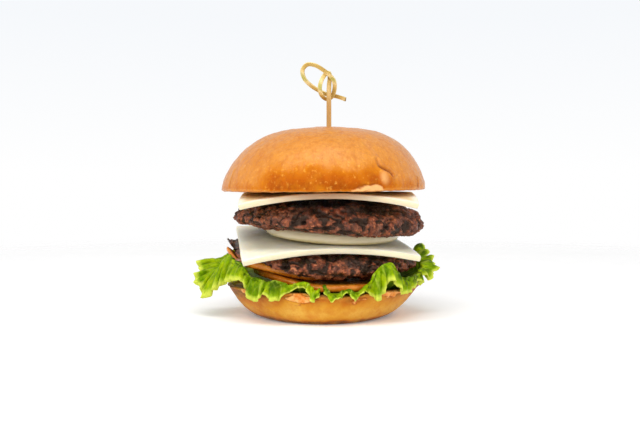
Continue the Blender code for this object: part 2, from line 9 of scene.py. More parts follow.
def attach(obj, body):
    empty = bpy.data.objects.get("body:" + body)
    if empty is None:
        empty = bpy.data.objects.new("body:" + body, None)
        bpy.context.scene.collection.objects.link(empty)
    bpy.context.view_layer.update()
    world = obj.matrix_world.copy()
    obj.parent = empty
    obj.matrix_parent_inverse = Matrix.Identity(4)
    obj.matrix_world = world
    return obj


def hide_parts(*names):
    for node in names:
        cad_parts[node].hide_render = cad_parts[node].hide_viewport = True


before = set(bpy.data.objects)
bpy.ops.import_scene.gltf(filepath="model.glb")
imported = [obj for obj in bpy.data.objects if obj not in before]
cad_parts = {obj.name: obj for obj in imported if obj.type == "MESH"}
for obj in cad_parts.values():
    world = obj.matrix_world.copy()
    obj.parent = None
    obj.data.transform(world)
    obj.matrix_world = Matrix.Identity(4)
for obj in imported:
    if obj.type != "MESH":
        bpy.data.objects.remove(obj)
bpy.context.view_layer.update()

# Everything below is in millimetres until a mesh is made: X to the right, -Y to the front, Z up.
# Angles round the burger are measured from the front, positive towards +X.
MM = 0.001

# Mesh density: points round a piece, and rows of them
TOP_BUN_MESH, BOTTOM_BUN_MESH, PATTY_MESH, SLICE_MESH = (420, 170), (480, 100), (620, 62), (300, 40)
CHEESE_ROWS, LEAF_COLUMNS, LEAF_BED_ROWS, LEAF_FRILL_ROWS, PICK_FINER, PICK_SIDES = 42, 700, 5, 36, 14, 20

# Buns
BASE_HALF_WIDTH, BASE_HALF_DEPTH, BASE_SHIFT = 30.4, 40.8, 1.6
BOTTOM_RADIUS, BOTTOM_HEIGHT, BOTTOM_FLARE, BOTTOM_LEAN = 51.7, 15.2, 0.475, -0.4
RIM_LIFT, RIM_WIDTH = 1.6, 4.7
TOP_RADIUS, TOP_HEIGHT, TOP_SIDE_ROUNDING, TOP_CROWN_ROUNDING, TOP_Z = 54.6, 32.8, 3.05, 1.55, 66.7
TOP_X, TOP_LEAN, TOP_TILT, EDGE_ROUND = -0.3, 1.3, 0.010, 0.8
DENT, DENT_SIZE = 0.45, 24.0
CORNER_ROUND, CORNER_DROP = 1.76, 0.9
# The top bun's underside: how far in from its side, and how high
TOP_UNDERSIDE = ((0.25, -0.35), (0.7, -0.75), (1.6, -0.95), (3.5, -1.0), (8, -1.0), (16, -1.0), (28, -1.0),
                 (44, -1.0), (60, -1.0), (67.5, -1.0))
# Creases in the top bun: millimetres round its side at CREASE_RADIUS, from the front, and up from its rim
CREASE_RADIUS = 52
TEAR = ((29.3, 15.2), (29.8, 11.8), (32.0, 10.4), (35.2, 8.8), (36.6, 7.2))
FAINT_CREASE = ((26.6, 23.5), (28.2, 20.5), (29.6, 17.0))
SIDE_CREASE = ((36.6, 7.2), (37.4, 4.5), (37.2, 1.8))
LEFT_FOLD = ((-57.0, 10.5), (-57.6, 6.0), (-57.2, 1.5))
RIGHT_FOLD = ((58.0, 5.6), (57.2, 3.4), (56.2, 1.2))
# Crust torn and peeled back under the lettuce: angle, width, distance below the rim and amount
PEELED = ((-14.0, 9.0, 1.5, 1.0), (42.0, 9.0, 0.6, 1.0), (-52.0, 5.0, 0.4, 0.6), (20.0, 5.0, 1.5, 0.5),
          (72.0, 7.0, 0.5, 0.5), (118.0, 10.0, 1.0, 0.8), (163.0, 8.0, 1.2, 0.7), (-140.0, 9.0, 1.0, 0.8))

# Patties
PATTY_ROUNDING = 2.9
LOWER_PATTY_RADIUS, LOWER_PATTY_X, LOWER_PATTY_TIP = 50.0, -1.4, 5.5
LOWER_PATTY_TOP, LOWER_PATTY_BOTTOM = 39.6, 21.3
UPPER_PATTY_RADIUS, UPPER_PATTY_X, UPPER_PATTY_TOP, UPPER_PATTY_BOTTOM = 50.6, 2.2, 63.0, 43.9
COARSE_GRAIN, FINE_GRAIN = 4.6, 2.1
CRAGS = ((1.5, 11.0), (1.3, 5.6))
SAG_START, SAG_RUN, SAG_DEPTH = 2.0, 14.0, 1.3

# Cheese: heights of the underside at 3 by 3 places, front row first, left to right
CHEESE_HALF, CHEESE_THICKNESS, CHEESE_CORNER, CHEESE_RIM = 45.3, 2.9, 0.015, 0.9
LOWER_CHEESE_X, LOWER_CHEESE_TURN, UPPER_CHEESE_X = -1.0, math.radians(6.5), 2.0
LOWER_CHEESE_HEIGHTS = ((29.6, 35.6, 31.3), (38.8, 38.6, 34.6), (42.2, 41.8, 36.2))
UPPER_CHEESE_HEIGHTS = ((57.2, 63.0, 57.9), (62.6, 63.2, 62.8), (58.4, 63.1, 58.0))

# Onion and tomato
ONION_RADIUS, ONION_THICKNESS, ONION_CENTRE, ONION_SLOPE = 36.3, 5.4, (4.4, -0.7, 45.5), (-0.050, 0.088)
TOMATO_THICKNESS = 3.8
LOWER_TOMATO_RADIUS, LOWER_TOMATO_CENTRE = 40.0, (2.0, -6.5, 18.5)
UPPER_TOMATO_RADIUS, UPPER_TOMATO_CENTRE = 26.5, (-19.5, -12.5, 22.9)
TONGUE_ANGLE, TONGUE_WIDTH, TONGUE_REACH = math.radians(-105), 0.22, 7.2
TONGUE_START, TONGUE_CURL, TONGUE_ROOM = 46.0, 1.0, 3.0
LIFT_END, LIFT_HEIGHT = 40.0, 6.3

# Lettuce: angle in degrees, reach and height of the margin, height of the leaf's bend
LEAF_THICKNESS, BED_Z, INNER_RADIUS, ROOT_INSET = 0.7, 15.9, 14.0, 1.0
KNEE_RADIUS, KNEE_REACH = 50.9, 1.8
LEFT_MARGIN = (
    (-2.6, 51.5, 17.5, 19.5), (-5.9, 55.6, 12.6, 19.8), (-9.5, 53.0, 18.4, 21.7), (-14.1, 52.2, 19.5, 21.9),
    (-21.3, 54.0, 16.2, 20.9), (-24.2, 55.6, 13.4, 23.5), (-28.5, 56.0, 13.0, 24.2), (-34.1, 54.5, 16.0, 21.5),
    (-36.1, 55.8, 12.9, 24.1), (-40.9, 56.2, 12.0, 25.3), (-44.7, 56.0, 15.6, 24.3), (-48.0, 55.2, 20.6, 25.1),
    (-54.0, 56.5, 21.3, 29.0), (-65.0, 55.8, 18.9, 31.4), (-71.0, 60.5, 14.7, 34.4), (-78.0, 65.1, 9.5, 31.0),
    (-81.0, 66.8, 15.0, 27.4), (-84.0, 69.8, 17.2, 24.0), (-87.0, 69.5, 21.0, 24.3), (-89.5, 66.9, 21.6, 24.6),
    (-92.5, 69.2, 27.0, 25.4), (-96.0, 65.2, 25.2, 26.2), (-104.0, 55.6, 29.2, 26.7),
    (-108.0, 55.1, 32.5, 26.4), (-114.0, 56.7, 25.7, 24.8),
)
RIGHT_MARGIN = (
    (-0.4, 51.0, 19.6, 20.2), (2.6, 54.8, 14.0, 18.1), (6.0, 55.6, 13.7, 17.3), (9.7, 53.6, 16.1, 17.8),
    (13.5, 52.0, 16.9, 18.4), (16.3, 54.8, 13.5, 18.1), (22.5, 51.8, 17.7, 19.2), (29.0, 55.6, 12.6, 28.2),
    (32.6, 55.4, 17.7, 30.0), (36.2, 55.4, 22.2, 29.9), (40.3, 55.4, 20.9, 29.9), (45.5, 55.8, 15.2, 24.8),
    (57.0, 53.9, 16.2, 23.2), (65.0, 53.7, 19.9, 23.0), (70.0, 53.9, 17.3, 23.7), (75.0, 54.0, 22.0, 24.3),
    (80.0, 57.7, 19.3, 24.6), (84.0, 58.7, 22.6, 25.1), (88.0, 62.2, 24.3, 25.3), (92.0, 58.7, 26.0, 25.5),
    (95.0, 59.5, 29.1, 25.8), (98.0, 55.3, 28.0, 26.1), (101.0, 58.9, 32.5, 26.9), (107.0, 55.4, 35.9, 28.1),
    (111.0, 56.3, 29.9, 25.0),
)
LEAF_SEAM, BACK_FRILL_STEP, BACK_SWAY = 1.2, 8.0, 1.4
BACK_CREST, BACK_TROUGH = (53.6, 20.5, 23.0), (56.4, 13.0, 21.0)
LEAF_CLIMB, LEAF_CLEAR_RADIUS = 6.1, 52.6

# Pick
PICK_X, PICK_TOP_Z, PICK_LENGTH = 2.6, 130.0, 100.0
PICK_HALF, STRIP_HALF = (1.3, 1.0), (1.15, 0.4)
STRIP_START, STRIP_FACING = 3.4, np.array((0.25, 0.80, 0.55))
# Power that squares the section: 1 is round, 0 is sharp
PICK_CORNERS = 0.35

# Light and camera: metres, watts, degrees and millimetres of lens
WORLD_LIGHT, FLOOR_GLOW = 0.86, 0.12
LAMPS = (
    ("key_light", (-0.05, -0.42, 0.98), (0.9, 0.30), 5.6),
    ("front_light", (-0.35, -1.05, 0.70), (1.2, 0.6), 4.2),
    ("left_light", (-0.75, -0.85, 0.62), (0.7, 0.7), 2.2),
    ("right_light", (0.85, -0.75, 0.50), (0.7, 0.8), 1.8),
)
LAMP_TARGET = (0, 0, 0.05)
CAMERA_PLACE, CAMERA_DOWN, CAMERA_LENS, CAMERA_SENSOR = (-0.0022, -0.540, 0.0764), 2.43, 56.25, 36

# Stretch that makes noise flatter than it is wide
FLATTER = np.array((1, 1, 2.0))

# Gaps between layers, and how what lies on a round slice slopes down past its rim
GAP, PATTY_GAP, SHOULDER_SLOPE = 0.6, 0.6, 0.9
ONION_SHOULDER_START, TOMATO_SHOULDER_START = 2.2, 4.0


# Noise

def hashed(cells, seed):
    """Repeatable numbers from 0 to 1 for whole-number cells."""
    i, j, k = (cells[..., n].astype(np.uint64) for n in range(3))
    h = i * np.uint64(73856093) ^ j * np.uint64(19349663) ^ k * np.uint64(83492791)
    h = (h ^ np.uint64(int(seed) * 2654435761 % 4294967296)) & np.uint64(0xFFFFFFFF)
    h = (h ^ (h >> np.uint64(15))) * np.uint64(2246822519) & np.uint64(0xFFFFFFFF)
    h = (h ^ (h >> np.uint64(13))) * np.uint64(3266489917) & np.uint64(0xFFFFFFFF)
    return ((h ^ (h >> np.uint64(16))) & np.uint64(0xFFFFFF)).astype(float) / 0xFFFFFF


def soft_noise(p, size, seed):
    """Smooth noise from -1 to 1 with lumps of about that size."""
    q = p / size + seed * 7.31
    base = np.floor(q)
    f = q - base
    f = f * f * f * (f * (f * 6 - 15) + 10)
    cell = base.astype(np.int64)
    total = 0.0
    for corner in itertools.product((0, 1), repeat=3):
        weight = np.prod([f[..., n] if corner[n] else 1 - f[..., n] for n in range(3)], axis=0)
        total = total + weight * hashed(cell + np.array(corner), seed)
    return 2 * total - 1


def fractal(p, size, seed):
    """Three sizes of smooth noise, each finer and weaker than the last."""
    return sum(soft_noise(p, size / 2**n, seed + n) / 2**n for n in range(3))


def lumps(p, size, seed):
    """Packed round grains of uneven size: how high the highest stands, and a number for it."""
    q = p / size
    base = np.floor(q).astype(np.int64)
    height, tag = np.full(q.shape[:-1], -0.35), np.zeros(q.shape[:-1])
    for corner in itertools.product((-1, 0, 1), repeat=3):
        cell = base + np.array(corner)
        spread = [hashed(cell, seed + n) for n in range(5)]
        away = np.linalg.norm(q - cell - np.stack(spread[:3], axis=-1), axis=-1)
        stands = 1 - (away / (0.48 + 0.40 * spread[3])) ** 2
        tag = np.where(stands > height, spread[4], tag)
        height = np.maximum(height, stands)
    return height, tag


def smooth(low, high, x):
    """A soft step from 0 at low to 1 at high."""
    t = np.clip((x - low) / (high - low), 0, 1)
    return t * t * (3 - 2 * t)


def bell(x, width):
    """A soft bump, 1 at nothing."""
    return np.exp(-((x / width) ** 2))


def same_rough(p, size, seed):
    """The solid's own lumps, so that a piece keeps them."""
    shift = Vector((seed, seed * 0.7, -seed))
    flat = p.reshape(-1, 3)
    return np.array([noise.noise(Vector(row) / size + shift) for row in flat]).reshape(p.shape[:-1])


# Meshes

def unit(v):
    return v / np.maximum(np.linalg.norm(v, axis=-1, keepdims=True), 1e-9)


def around(angle, radius, z, centre=(0.0, 0.0)):
    """Points at those angles from the front, in radians, and at those radii."""
    angle, radius, z = np.broadcast_arrays(angle, radius, z)
    return np.stack([centre[0] + radius * np.sin(angle), centre[1] - radius * np.cos(angle), z], axis=-1)


def turns(count):
    return 2 * np.pi * np.arange(count) / count


def wrapped(angle):
    """The same angles between minus half a turn and half a turn."""
    return np.remainder(angle + np.pi, 2 * np.pi) - np.pi


def make_piece(name, node, points, faces, material, paint):
    """A smooth mesh that stands for a CAD node, with three painted numbers at each point."""
    mesh = bpy.data.meshes.new(name)
    mesh.from_pydata((points * MM).tolist(), [], faces)
    rgba = np.ones((len(points), 4), np.float32)
    rgba[:, :3] = np.clip(paint, 0, 1)
    mesh.attributes.new("paint", "FLOAT_COLOR", "POINT").data.foreach_set("color", rgba.ravel())
    mesh.shade_smooth()
    mesh.materials.append(material)
    piece = bpy.data.objects.new(name, mesh)
    bpy.context.scene.collection.objects.link(piece)
    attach(piece, "root")
    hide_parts(node)
    return piece


def ring_piece(name, node, rings, material, paint):
    """A closed form from rings of points, with a fan of triangles over the first ring and over the last."""
    rows, count = rings.shape[:2]
    j, i = np.meshgrid(np.arange(rows - 1), np.arange(count), indexing="ij")
    after = (i + 1) % count
    corners = [j * count + i, (j + 1) * count + i, (j + 1) * count + after, j * count + after]
    faces = np.stack(corners, -1).reshape(-1, 4).tolist()
    last, total = (rows - 1) * count, rows * count
    for place in range(count):
        beside = (place + 1) % count
        faces.append([total, place, beside])
        faces.append([total + 1, last + beside, last + place])
    points, values = (np.concatenate([grid.reshape(-1, 3), [grid[0].mean(axis=0), grid[-1].mean(axis=0)]])
                      for grid in (rings, paint))
    return make_piece(name, node, points, faces, material, values)


def sheet_piece(name, node, middle, half, material, paint):
    """A closed sheet on a grid: middle surface, half thickness at each point, both faces split alike."""
    rows, columns = middle.shape[:2]
    normal = unit(np.cross(np.gradient(middle, axis=1), np.gradient(middle, axis=0)))
    upper, lower = middle + normal * half[..., None], middle - normal * half[..., None]
    points = np.concatenate([upper.reshape(-1, 3), lower.reshape(-1, 3)])
    j, i = np.meshgrid(np.arange(rows - 1), np.arange(columns - 1), indexing="ij")
    corners = [j * columns + i, j * columns + i + 1, (j + 1) * columns + i + 1, (j + 1) * columns + i]
    quads = np.stack(corners, -1).reshape(-1, 4)
    grid = np.arange(rows * columns).reshape(rows, columns)
    rim = np.concatenate([grid[0], grid[1:, -1], grid[-1, -2::-1], grid[-2:0:-1, 0]])
    after = np.roll(rim, -1)
    count = rows * columns
    side = np.stack([rim, rim + count, after + count, after], -1)
    faces = np.concatenate([quads, quads[:, ::-1] + count, side]).tolist()
    return make_piece(name, node, points, faces, material, np.concatenate([paint.reshape(-1, 3)] * 2))


# Materials

def tone(red, green, blue):
    """A colour as a screen shows it, 0 to 255, as the shader wants it."""
    levels = np.array((red, green, blue)) / 255
    return tuple(np.where(levels <= 0.04045, levels / 12.92, ((levels + 0.055) / 1.055) ** 2.4)) + (1.0,)


def colour_ramp(tree, value, *stops):
    """What the value turns into: each stop is a value with a colour, or with a plain number."""
    node = tree.nodes.new("ShaderNodeValToRGB")
    elements = node.color_ramp.elements
    while len(elements) < len(stops):
        elements.new(0.5)
    for element, (at, colour) in zip(elements, stops):
        element.position = at
        element.color = colour if isinstance(colour, tuple) else (colour, colour, colour, 1)
    tree.links.new(value, node.inputs["Fac"])
    return node.outputs["Color"]


class Paint:
    """One node material and the few kinds of node that it is made of."""

    def __init__(self, name, **numbers):
        self.material = bpy.data.materials.new(name)
        self.material.use_nodes = True
        self.tree = self.material.node_tree
        self.shader = self.tree.nodes["Principled BSDF"]
        self.place = self.tree.nodes.new("ShaderNodeTexCoord").outputs["Object"]
        for label, number in numbers.items():
            self.shader.inputs[label.replace("_", " ")].default_value = number

    def link(self, output, socket):
        self.tree.links.new(output, socket)

    def give(self, value, socket):
        """A socket gets a node's output or a plain number or colour."""
        if isinstance(value, bpy.types.NodeSocket):
            self.link(value, socket)
        else:
            socket.default_value = value

    def noise(self, size, detail=3.0, roughness=0.5, distortion=0.0, stretch=None):
        """Cloudy noise whose lumps are about that many millimetres, finer along an axis with more stretch."""
        node = self.tree.nodes.new("ShaderNodeTexNoise")
        node.inputs["Scale"].default_value = 1 / MM / size
        node.inputs["Detail"].default_value = detail
        node.inputs["Roughness"].default_value = roughness
        node.inputs["Distortion"].default_value = distortion
        place = self.place
        if stretch:
            mapping = self.tree.nodes.new("ShaderNodeMapping")
            mapping.inputs["Scale"].default_value = stretch
            self.link(place, mapping.inputs["Vector"])
            place = mapping.outputs["Vector"]
        self.link(place, node.inputs["Vector"])
        return node.outputs["Fac"]

    def painted(self):
        """The three numbers painted on the mesh."""
        node = self.tree.nodes.new("ShaderNodeAttribute")
        node.attribute_name = "paint"
        split = self.tree.nodes.new("ShaderNodeSeparateColor")
        self.link(node.outputs["Color"], split.inputs["Color"])
        return split.outputs["Red"], split.outputs["Green"], split.outputs["Blue"]

    def ramp(self, value, *stops):
        return colour_ramp(self.tree, value, *stops)

    def mix(self, share, first, second):
        node = self.tree.nodes.new("ShaderNodeMix")
        node.data_type = "RGBA"
        self.give(share, node.inputs["Factor"])
        self.give(first, node.inputs[6])
        self.give(second, node.inputs[7])
        return node.outputs[2]

    def cover(self, base, value, low, high, *colour):
        """The base under a colour, whose share runs from low to high: each is a value with its share."""
        return self.mix(self.ramp(value, low, high), base, tone(*colour))

    def bump(self, *layers):
        """Relief from the finest layer to the last: each a height, a strength and a depth in millimetres."""
        below = None
        for height, strength, depth in layers:
            node = self.tree.nodes.new("ShaderNodeBump")
            node.inputs["Strength"].default_value = strength
            node.inputs["Distance"].default_value = depth * MM
            self.link(height, node.inputs["Height"])
            if below:
                self.link(below, node.inputs["Normal"])
            below = node.outputs["Normal"]
        self.set("Normal", below)
        return below

    def set(self, label, value):
        self.link(value, self.shader.inputs[label])

    def assign(self, base, roughness, *relief):
        """Give the surface its colour, roughness and relief."""
        self.set("Base Color", base)
        self.set("Roughness", roughness)
        self.bump(*relief)
        return self.material

    def blend_with(self, other, share):
        """The surface is the main shader with that share of another one."""
        both = self.tree.nodes.new("ShaderNodeMixShader")
        self.give(share, both.inputs["Fac"])
        self.link(self.shader.outputs["BSDF"], both.inputs[1])
        self.link(other.outputs["BSDF"], both.inputs[2])
        self.link(both.outputs["Shader"], self.tree.nodes["Material Output"].inputs["Surface"])


def crust_paint():
    """Glazed brioche crust: red is browned crust and painted light, green torn crumb, blue painted shade in
    creases.
    """
    p = Paint("golden_crust", Coat_Roughness=0.17, Specular_IOR_Level=0.4,
              Specular_Tint=(1.0, 0.60, 0.12, 1))
    browning_and_shading, crumb, crease = p.painted()
    fine = p.noise(1.2, 5, 0.7)
    streaks = p.noise(2.4, 4, 0.62, 0.3, (1, 1, 0.3))
    base = p.ramp(browning_and_shading, (0.0, tone(218, 145, 72)), (0.25, tone(214, 138, 46)), (0.50, tone(198, 111, 4)),
                  (0.75, tone(174, 78, 0)), (1.0, tone(136, 52, 0)))
    base = p.cover(base, p.noise(8, 5, 0.62), (0.46, 0.0), (0.66, 0.45), 216, 132, 18)
    base = p.cover(base, streaks, (0.34, 0.48), (0.54, 0.0), 184, 88, 2)
    base = p.cover(base, fine, (0.45, 0.0), (0.75, 0.28), 190, 100, 6)
    # Pale flecks that stand in for small glints on the glaze: painted highlights.
    base = p.cover(base, p.noise(1.8, 3, 0.6), (0.58, 0.0), (0.72, 0.38), 250, 186, 80)
    base = p.mix(crumb, base, tone(250, 194, 128))
    base = p.mix(crease, base, tone(132, 54, 4))
    p.set("Base Color", base)
    p.set("Roughness", p.ramp(fine, (0.3, 0.30), (0.75, 0.55)))
    p.set("Coat Weight", p.ramp(browning_and_shading, (0.30, 0.62), (0.60, 0.0)))
    wrinkles, swells = p.noise(1.7, 5, 0.70, 0.8), p.noise(5.5, 3, 0.5)
    relief = p.bump((p.noise(0.5, 3, 0.6), 0.30, 0.12), (wrinkles, 0.80, 0.50), (swells, 0.30, 0.8))
    p.set("Coat Normal", relief)
    return p.material


def base_crust_paint():
    """The paler bottom bun: red is browned crust and a painted shadow at the foot, green torn crumb, blue a
    dark crease.
    """
    p = Paint("base_crust", Specular_IOR_Level=0.35, Specular_Tint=(1.0, 0.68, 0.25, 1))
    browning_and_shading, crumb, crease = p.painted()
    fine = p.noise(0.9, 5, 0.7)
    torn = p.ramp(p.noise(3.0, 4, 0.6), (0.38, tone(222, 126, 44)), (0.60, tone(240, 182, 108)))
    base = p.ramp(browning_and_shading, (0.0, tone(217, 168, 72)), (0.35, tone(206, 142, 38)), (0.65, tone(180, 98, 18)),
                  (1.0, tone(80, 32, 4)))
    base = p.cover(base, p.noise(7, 5, 0.65), (0.42, 0.0), (0.66, 0.5), 213, 162, 62)
    base = p.cover(base, p.noise(4.5, 3, 0.55), (0.30, 0.5), (0.55, 0.0), 192, 104, 20)
    base = p.cover(base, fine, (0.45, 0.0), (0.75, 0.35), 190, 108, 26)
    base = p.mix(crumb, base, torn)
    base = p.mix(crease, base, tone(150, 66, 8))
    return p.assign(base, p.ramp(fine, (0.3, 0.45), (0.75, 0.66)),
                    (p.noise(0.45, 3, 0.6), 0.35, 0.12), (p.noise(1.8, 5, 0.66, 0.4), 0.45, 0.3))


def meat_paint():
    """Grilled ground beef: red is charring and painted shade, green is height, blue tells one grain from the
    next.
    """
    p = Paint("grilled_beef", Specular_IOR_Level=0.5, Specular_Tint=(1.0, 0.62, 0.42, 1), Coat_Weight=0.12,
              Coat_Roughness=0.12)
    char_and_shade, height, grain = p.painted()
    flecks = p.noise(1.5, 4, 0.65)
    base = p.ramp(grain, (0.0, tone(70, 26, 16)), (0.25, tone(134, 60, 34)), (0.45, tone(97, 42, 28)),
                  (0.65, tone(160, 84, 48)), (0.82, tone(92, 47, 38)), (1.0, tone(170, 104, 70)))
    base = p.cover(base, p.noise(6.5, 3, 0.5), (0.46, 0.0), (0.60, 0.6), 70, 34, 26)
    base = p.cover(base, flecks, (0.55, 0.0), (0.66, 0.85), 200, 122, 82)
    # Painted light on the highest grains.
    base = p.cover(base, height, (0.72, 0.0), (1.0, 0.5), 176, 108, 72)
    base = p.cover(base, p.noise(3.4, 3, 0.6), (0.58, 0.0), (0.68, 0.4), 116, 78, 72)
    base = p.cover(base, flecks, (0.35, 0.95), (0.44, 0.0), 26, 8, 6)
    # Painted shade in the cracks between grains.
    base = p.cover(base, height, (0.26, 1.0), (0.60, 0.0), 22, 9, 6)
    # Charring, and painted shade high up under the cheese.
    base = p.mix(char_and_shade, base, tone(17, 10, 11))
    fine = p.noise(0.8, 4, 0.7)
    return p.assign(base, p.ramp(fine, (0.35, 0.26), (0.7, 0.62)),
                    (p.noise(0.4, 3, 0.7), 0.45, 0.12), (fine, 0.7, 0.4), (flecks, 0.8, 0.7))


def cheese_paint():
    """White cheese: painted red is the cut edge, green is painted shade under the bun, blue is bun-tinted
    painted shade on top.
    """
    p = Paint("white_cheese", Subsurface_Weight=0.50, Subsurface_Scale=0.006, Specular_IOR_Level=0.35,
              Coat_Weight=0.06, Coat_Roughness=0.3, Subsurface_Radius=(1.0, 0.8, 0.5))
    edge, bun_shade, bounce_shade = p.painted()
    base = p.ramp(p.noise(14, 3, 0.5), (0.35, tone(252, 246, 222)), (0.65, tone(254, 251, 232)))
    base = p.cover(base, p.noise(1.0, 3, 0.6), (0.5, 0.0), (0.8, 0.22), 226, 214, 182)
    base = p.cover(base, p.noise(5.0, 4, 0.6), (0.60, 0.0), (0.74, 0.30), 224, 222, 200)
    base = p.mix(edge, base, tone(223, 212, 181))
    # Painted shade on the top, tinted by light bounced off the bun.
    base = p.mix(bounce_shade, base, tone(224, 186, 92))
    # Painted shade where the bun overhangs the middle of the edges.
    base = p.mix(bun_shade, base, tone(190, 148, 112))
    return p.assign(base, p.ramp(p.noise(3, 3), (0.3, 0.36), (0.7, 0.5)),
                    (p.noise(0.4, 2), 0.10, 0.08), (p.noise(5, 2), 0.22, 0.45))


def onion_paint():
    """Raw onion: painted red is the line between two rings, blue how high a point is."""
    p = Paint("onion_rings", Subsurface_Weight=0.35, Subsurface_Scale=0.004, Specular_IOR_Level=0.5,
              Coat_Weight=0.30, Coat_Roughness=0.15, Subsurface_Radius=(1.0, 0.9, 0.6))
    line, _, high = p.painted()
    streak = p.noise(2.6, 3, 0.5, 0.3, (0.15, 0.15, 1.3))
    base = p.ramp(streak, (0.35, tone(226, 211, 170)), (0.65, tone(234, 222, 188)))
    base = p.cover(base, high, (0.05, 0.75), (0.30, 0.0), 184, 166, 102)
    base = p.mix(line, base, tone(176, 168, 122))
    return p.assign(base, p.ramp(streak, (0.35, 0.20), (0.65, 0.36)), (streak, 0.05, 0.10))


def tomato_paint():
    """Ripe tomato in shade: painted red is the skin at the rim, green is seed jelly."""
    p = Paint("tomato_slices", Subsurface_Weight=0.20, Subsurface_Scale=0.004, Specular_IOR_Level=0.5,
              Specular_Tint=(1.0, 0.75, 0.45, 1), Coat_Weight=0.30, Coat_Roughness=0.14,
              Subsurface_Radius=(1.0, 0.35, 0.15))
    skin, jelly, _ = p.painted()
    cloud = p.noise(4, 4, 0.6)
    base = p.ramp(cloud, (0.35, tone(206, 118, 24)), (0.65, tone(228, 150, 50)))
    base = p.mix(jelly, base, tone(206, 150, 50))
    base = p.mix(skin, base, p.ramp(cloud, (0.35, tone(198, 104, 16)), (0.65, tone(226, 136, 34))))
    return p.assign(base, p.ramp(cloud, (0.3, 0.2), (0.7, 0.36)),
                    (p.noise(0.7, 3), 0.2, 0.15), (p.noise(3, 3), 0.3, 0.4))


def lettuce_paint():
    """Frilly lettuce: painted red runs from the root to the margin, green is a vein, blue is painted shade in
    folds.
    """
    p = Paint("frilly_lettuce", Specular_IOR_Level=0.45, Specular_Tint=(0.85, 1.0, 0.15, 1))
    margin, vein, fold_shade = p.painted()
    patch = p.noise(5, 5, 0.62)
    base = p.ramp(patch, (0.36, tone(104, 150, 0)), (0.50, tone(156, 192, 1)), (0.64, tone(200, 220, 10)))
    # Painted shade near the root, where the leaf lies under the tomato.
    base = p.cover(base, margin, (0.05, 0.9), (0.50, 0.0), 40, 78, 3)
    # Painted shade in folds and curls.
    base = p.mix(fold_shade, base, tone(34, 72, 0))
    base = p.mix(vein, base, tone(206, 222, 84))
    base = p.cover(base, margin, (0.92, 0.0), (0.97, 1.0), 232, 240, 96)
    through = p.tree.nodes.new("ShaderNodeBsdfTranslucent")
    p.link(p.mix(0.35, base, tone(206, 230, 8)), through.inputs["Color"])
    p.blend_with(through, 0.34)
    return p.assign(base, p.ramp(margin, (0.30, 0.95), (0.60, 0.36)), (p.noise(0.8, 4, 0.6), 0.40, 0.2),
                    (p.noise(2.6, 4, 0.6, 0.6), 0.90, 1.0), (vein, 0.5, 0.4))


def bamboo_paint():
    """Split bamboo: painted red is how far it is shaved to a strip, green a node or cut end, blue grain."""
    p = Paint("split_bamboo", Specular_IOR_Level=0.4, Specular_Tint=(1.0, 0.85, 0.6, 1), Coat_Weight=0.05,
              Coat_Roughness=0.35)
    strip, dark, grain = p.painted()
    fibre = p.noise(0.7, 3, 0.6, 0.0, (1, 1, 0.06))
    wood = p.ramp(fibre, (0.3, tone(168, 122, 64)), (0.7, tone(198, 158, 100)))
    pale = p.ramp(grain, (0.0, tone(164, 128, 56)), (0.45, tone(206, 176, 98)), (0.8, tone(236, 216, 158)),
                  (1.0, tone(186, 182, 96)))
    base = p.mix(strip, wood, pale)
    base = p.mix(dark, base, tone(120, 74, 26))
    return p.assign(base, p.ramp(fibre, (0.3, 0.58), (0.7, 0.42)), (p.noise(1.0, 2), 0.12, 0.08))


# Layers

def lift(x):
    """How far the fold of leaf on the left raises what lies on it."""
    return LIFT_HEIGHT * smooth(0, 1, -x / LIFT_END)


def weights(t):
    """The weights of three values at -1, 0 and 1 for a parabola through them."""
    t = np.clip(t, -1.15, 1.15)
    return t * (t - 1) / 2, 1 - t * t, t * (t + 1) / 2


def cheese_underside(heights, u, v):
    across, deep = weights(u), weights(v)
    return sum(deep[j] * across[i] * heights[j][i] for j in range(3) for i in range(3))


def lower_cheese_square(x, y):
    cosine, sine = math.cos(LOWER_CHEESE_TURN), math.sin(LOWER_CHEESE_TURN)
    across = (x - LOWER_CHEESE_X) * cosine + y * sine
    deep = y * cosine - (x - LOWER_CHEESE_X) * sine
    return across / CHEESE_HALF, deep / CHEESE_HALF


def lower_cheese_underside(x, y):
    return cheese_underside(LOWER_CHEESE_HEIGHTS, *lower_cheese_square(x, y))


def upper_cheese_underside(x, y):
    return cheese_underside(UPPER_CHEESE_HEIGHTS, (x - UPPER_CHEESE_X) / CHEESE_HALF, y / CHEESE_HALF)


def onion_middle(x, y):
    return ONION_CENTRE[2] + ONION_SLOPE[0] * (x - ONION_CENTRE[0]) + ONION_SLOPE[1] * (y - ONION_CENTRE[1])


def onion_top_with_shoulder(x, y):
    outside = np.hypot(x - ONION_CENTRE[0], y - ONION_CENTRE[1]) - ONION_RADIUS - ONION_SHOULDER_START
    return onion_middle(x, y) + ONION_THICKNESS / 2 - SHOULDER_SLOPE * np.maximum(0, outside)


def lower_tomato_middle(x, y):
    return LOWER_TOMATO_CENTRE[2] + lift(x)


def upper_tomato_middle(x, y, curl_start=TONGUE_START):
    return UPPER_TOMATO_CENTRE[2] + lift(x) + TONGUE_CURL * np.maximum(0, -x - curl_start)


def tongue(angle, width=TONGUE_WIDTH):
    return TONGUE_REACH * bell(wrapped(angle - TONGUE_ANGLE), width)


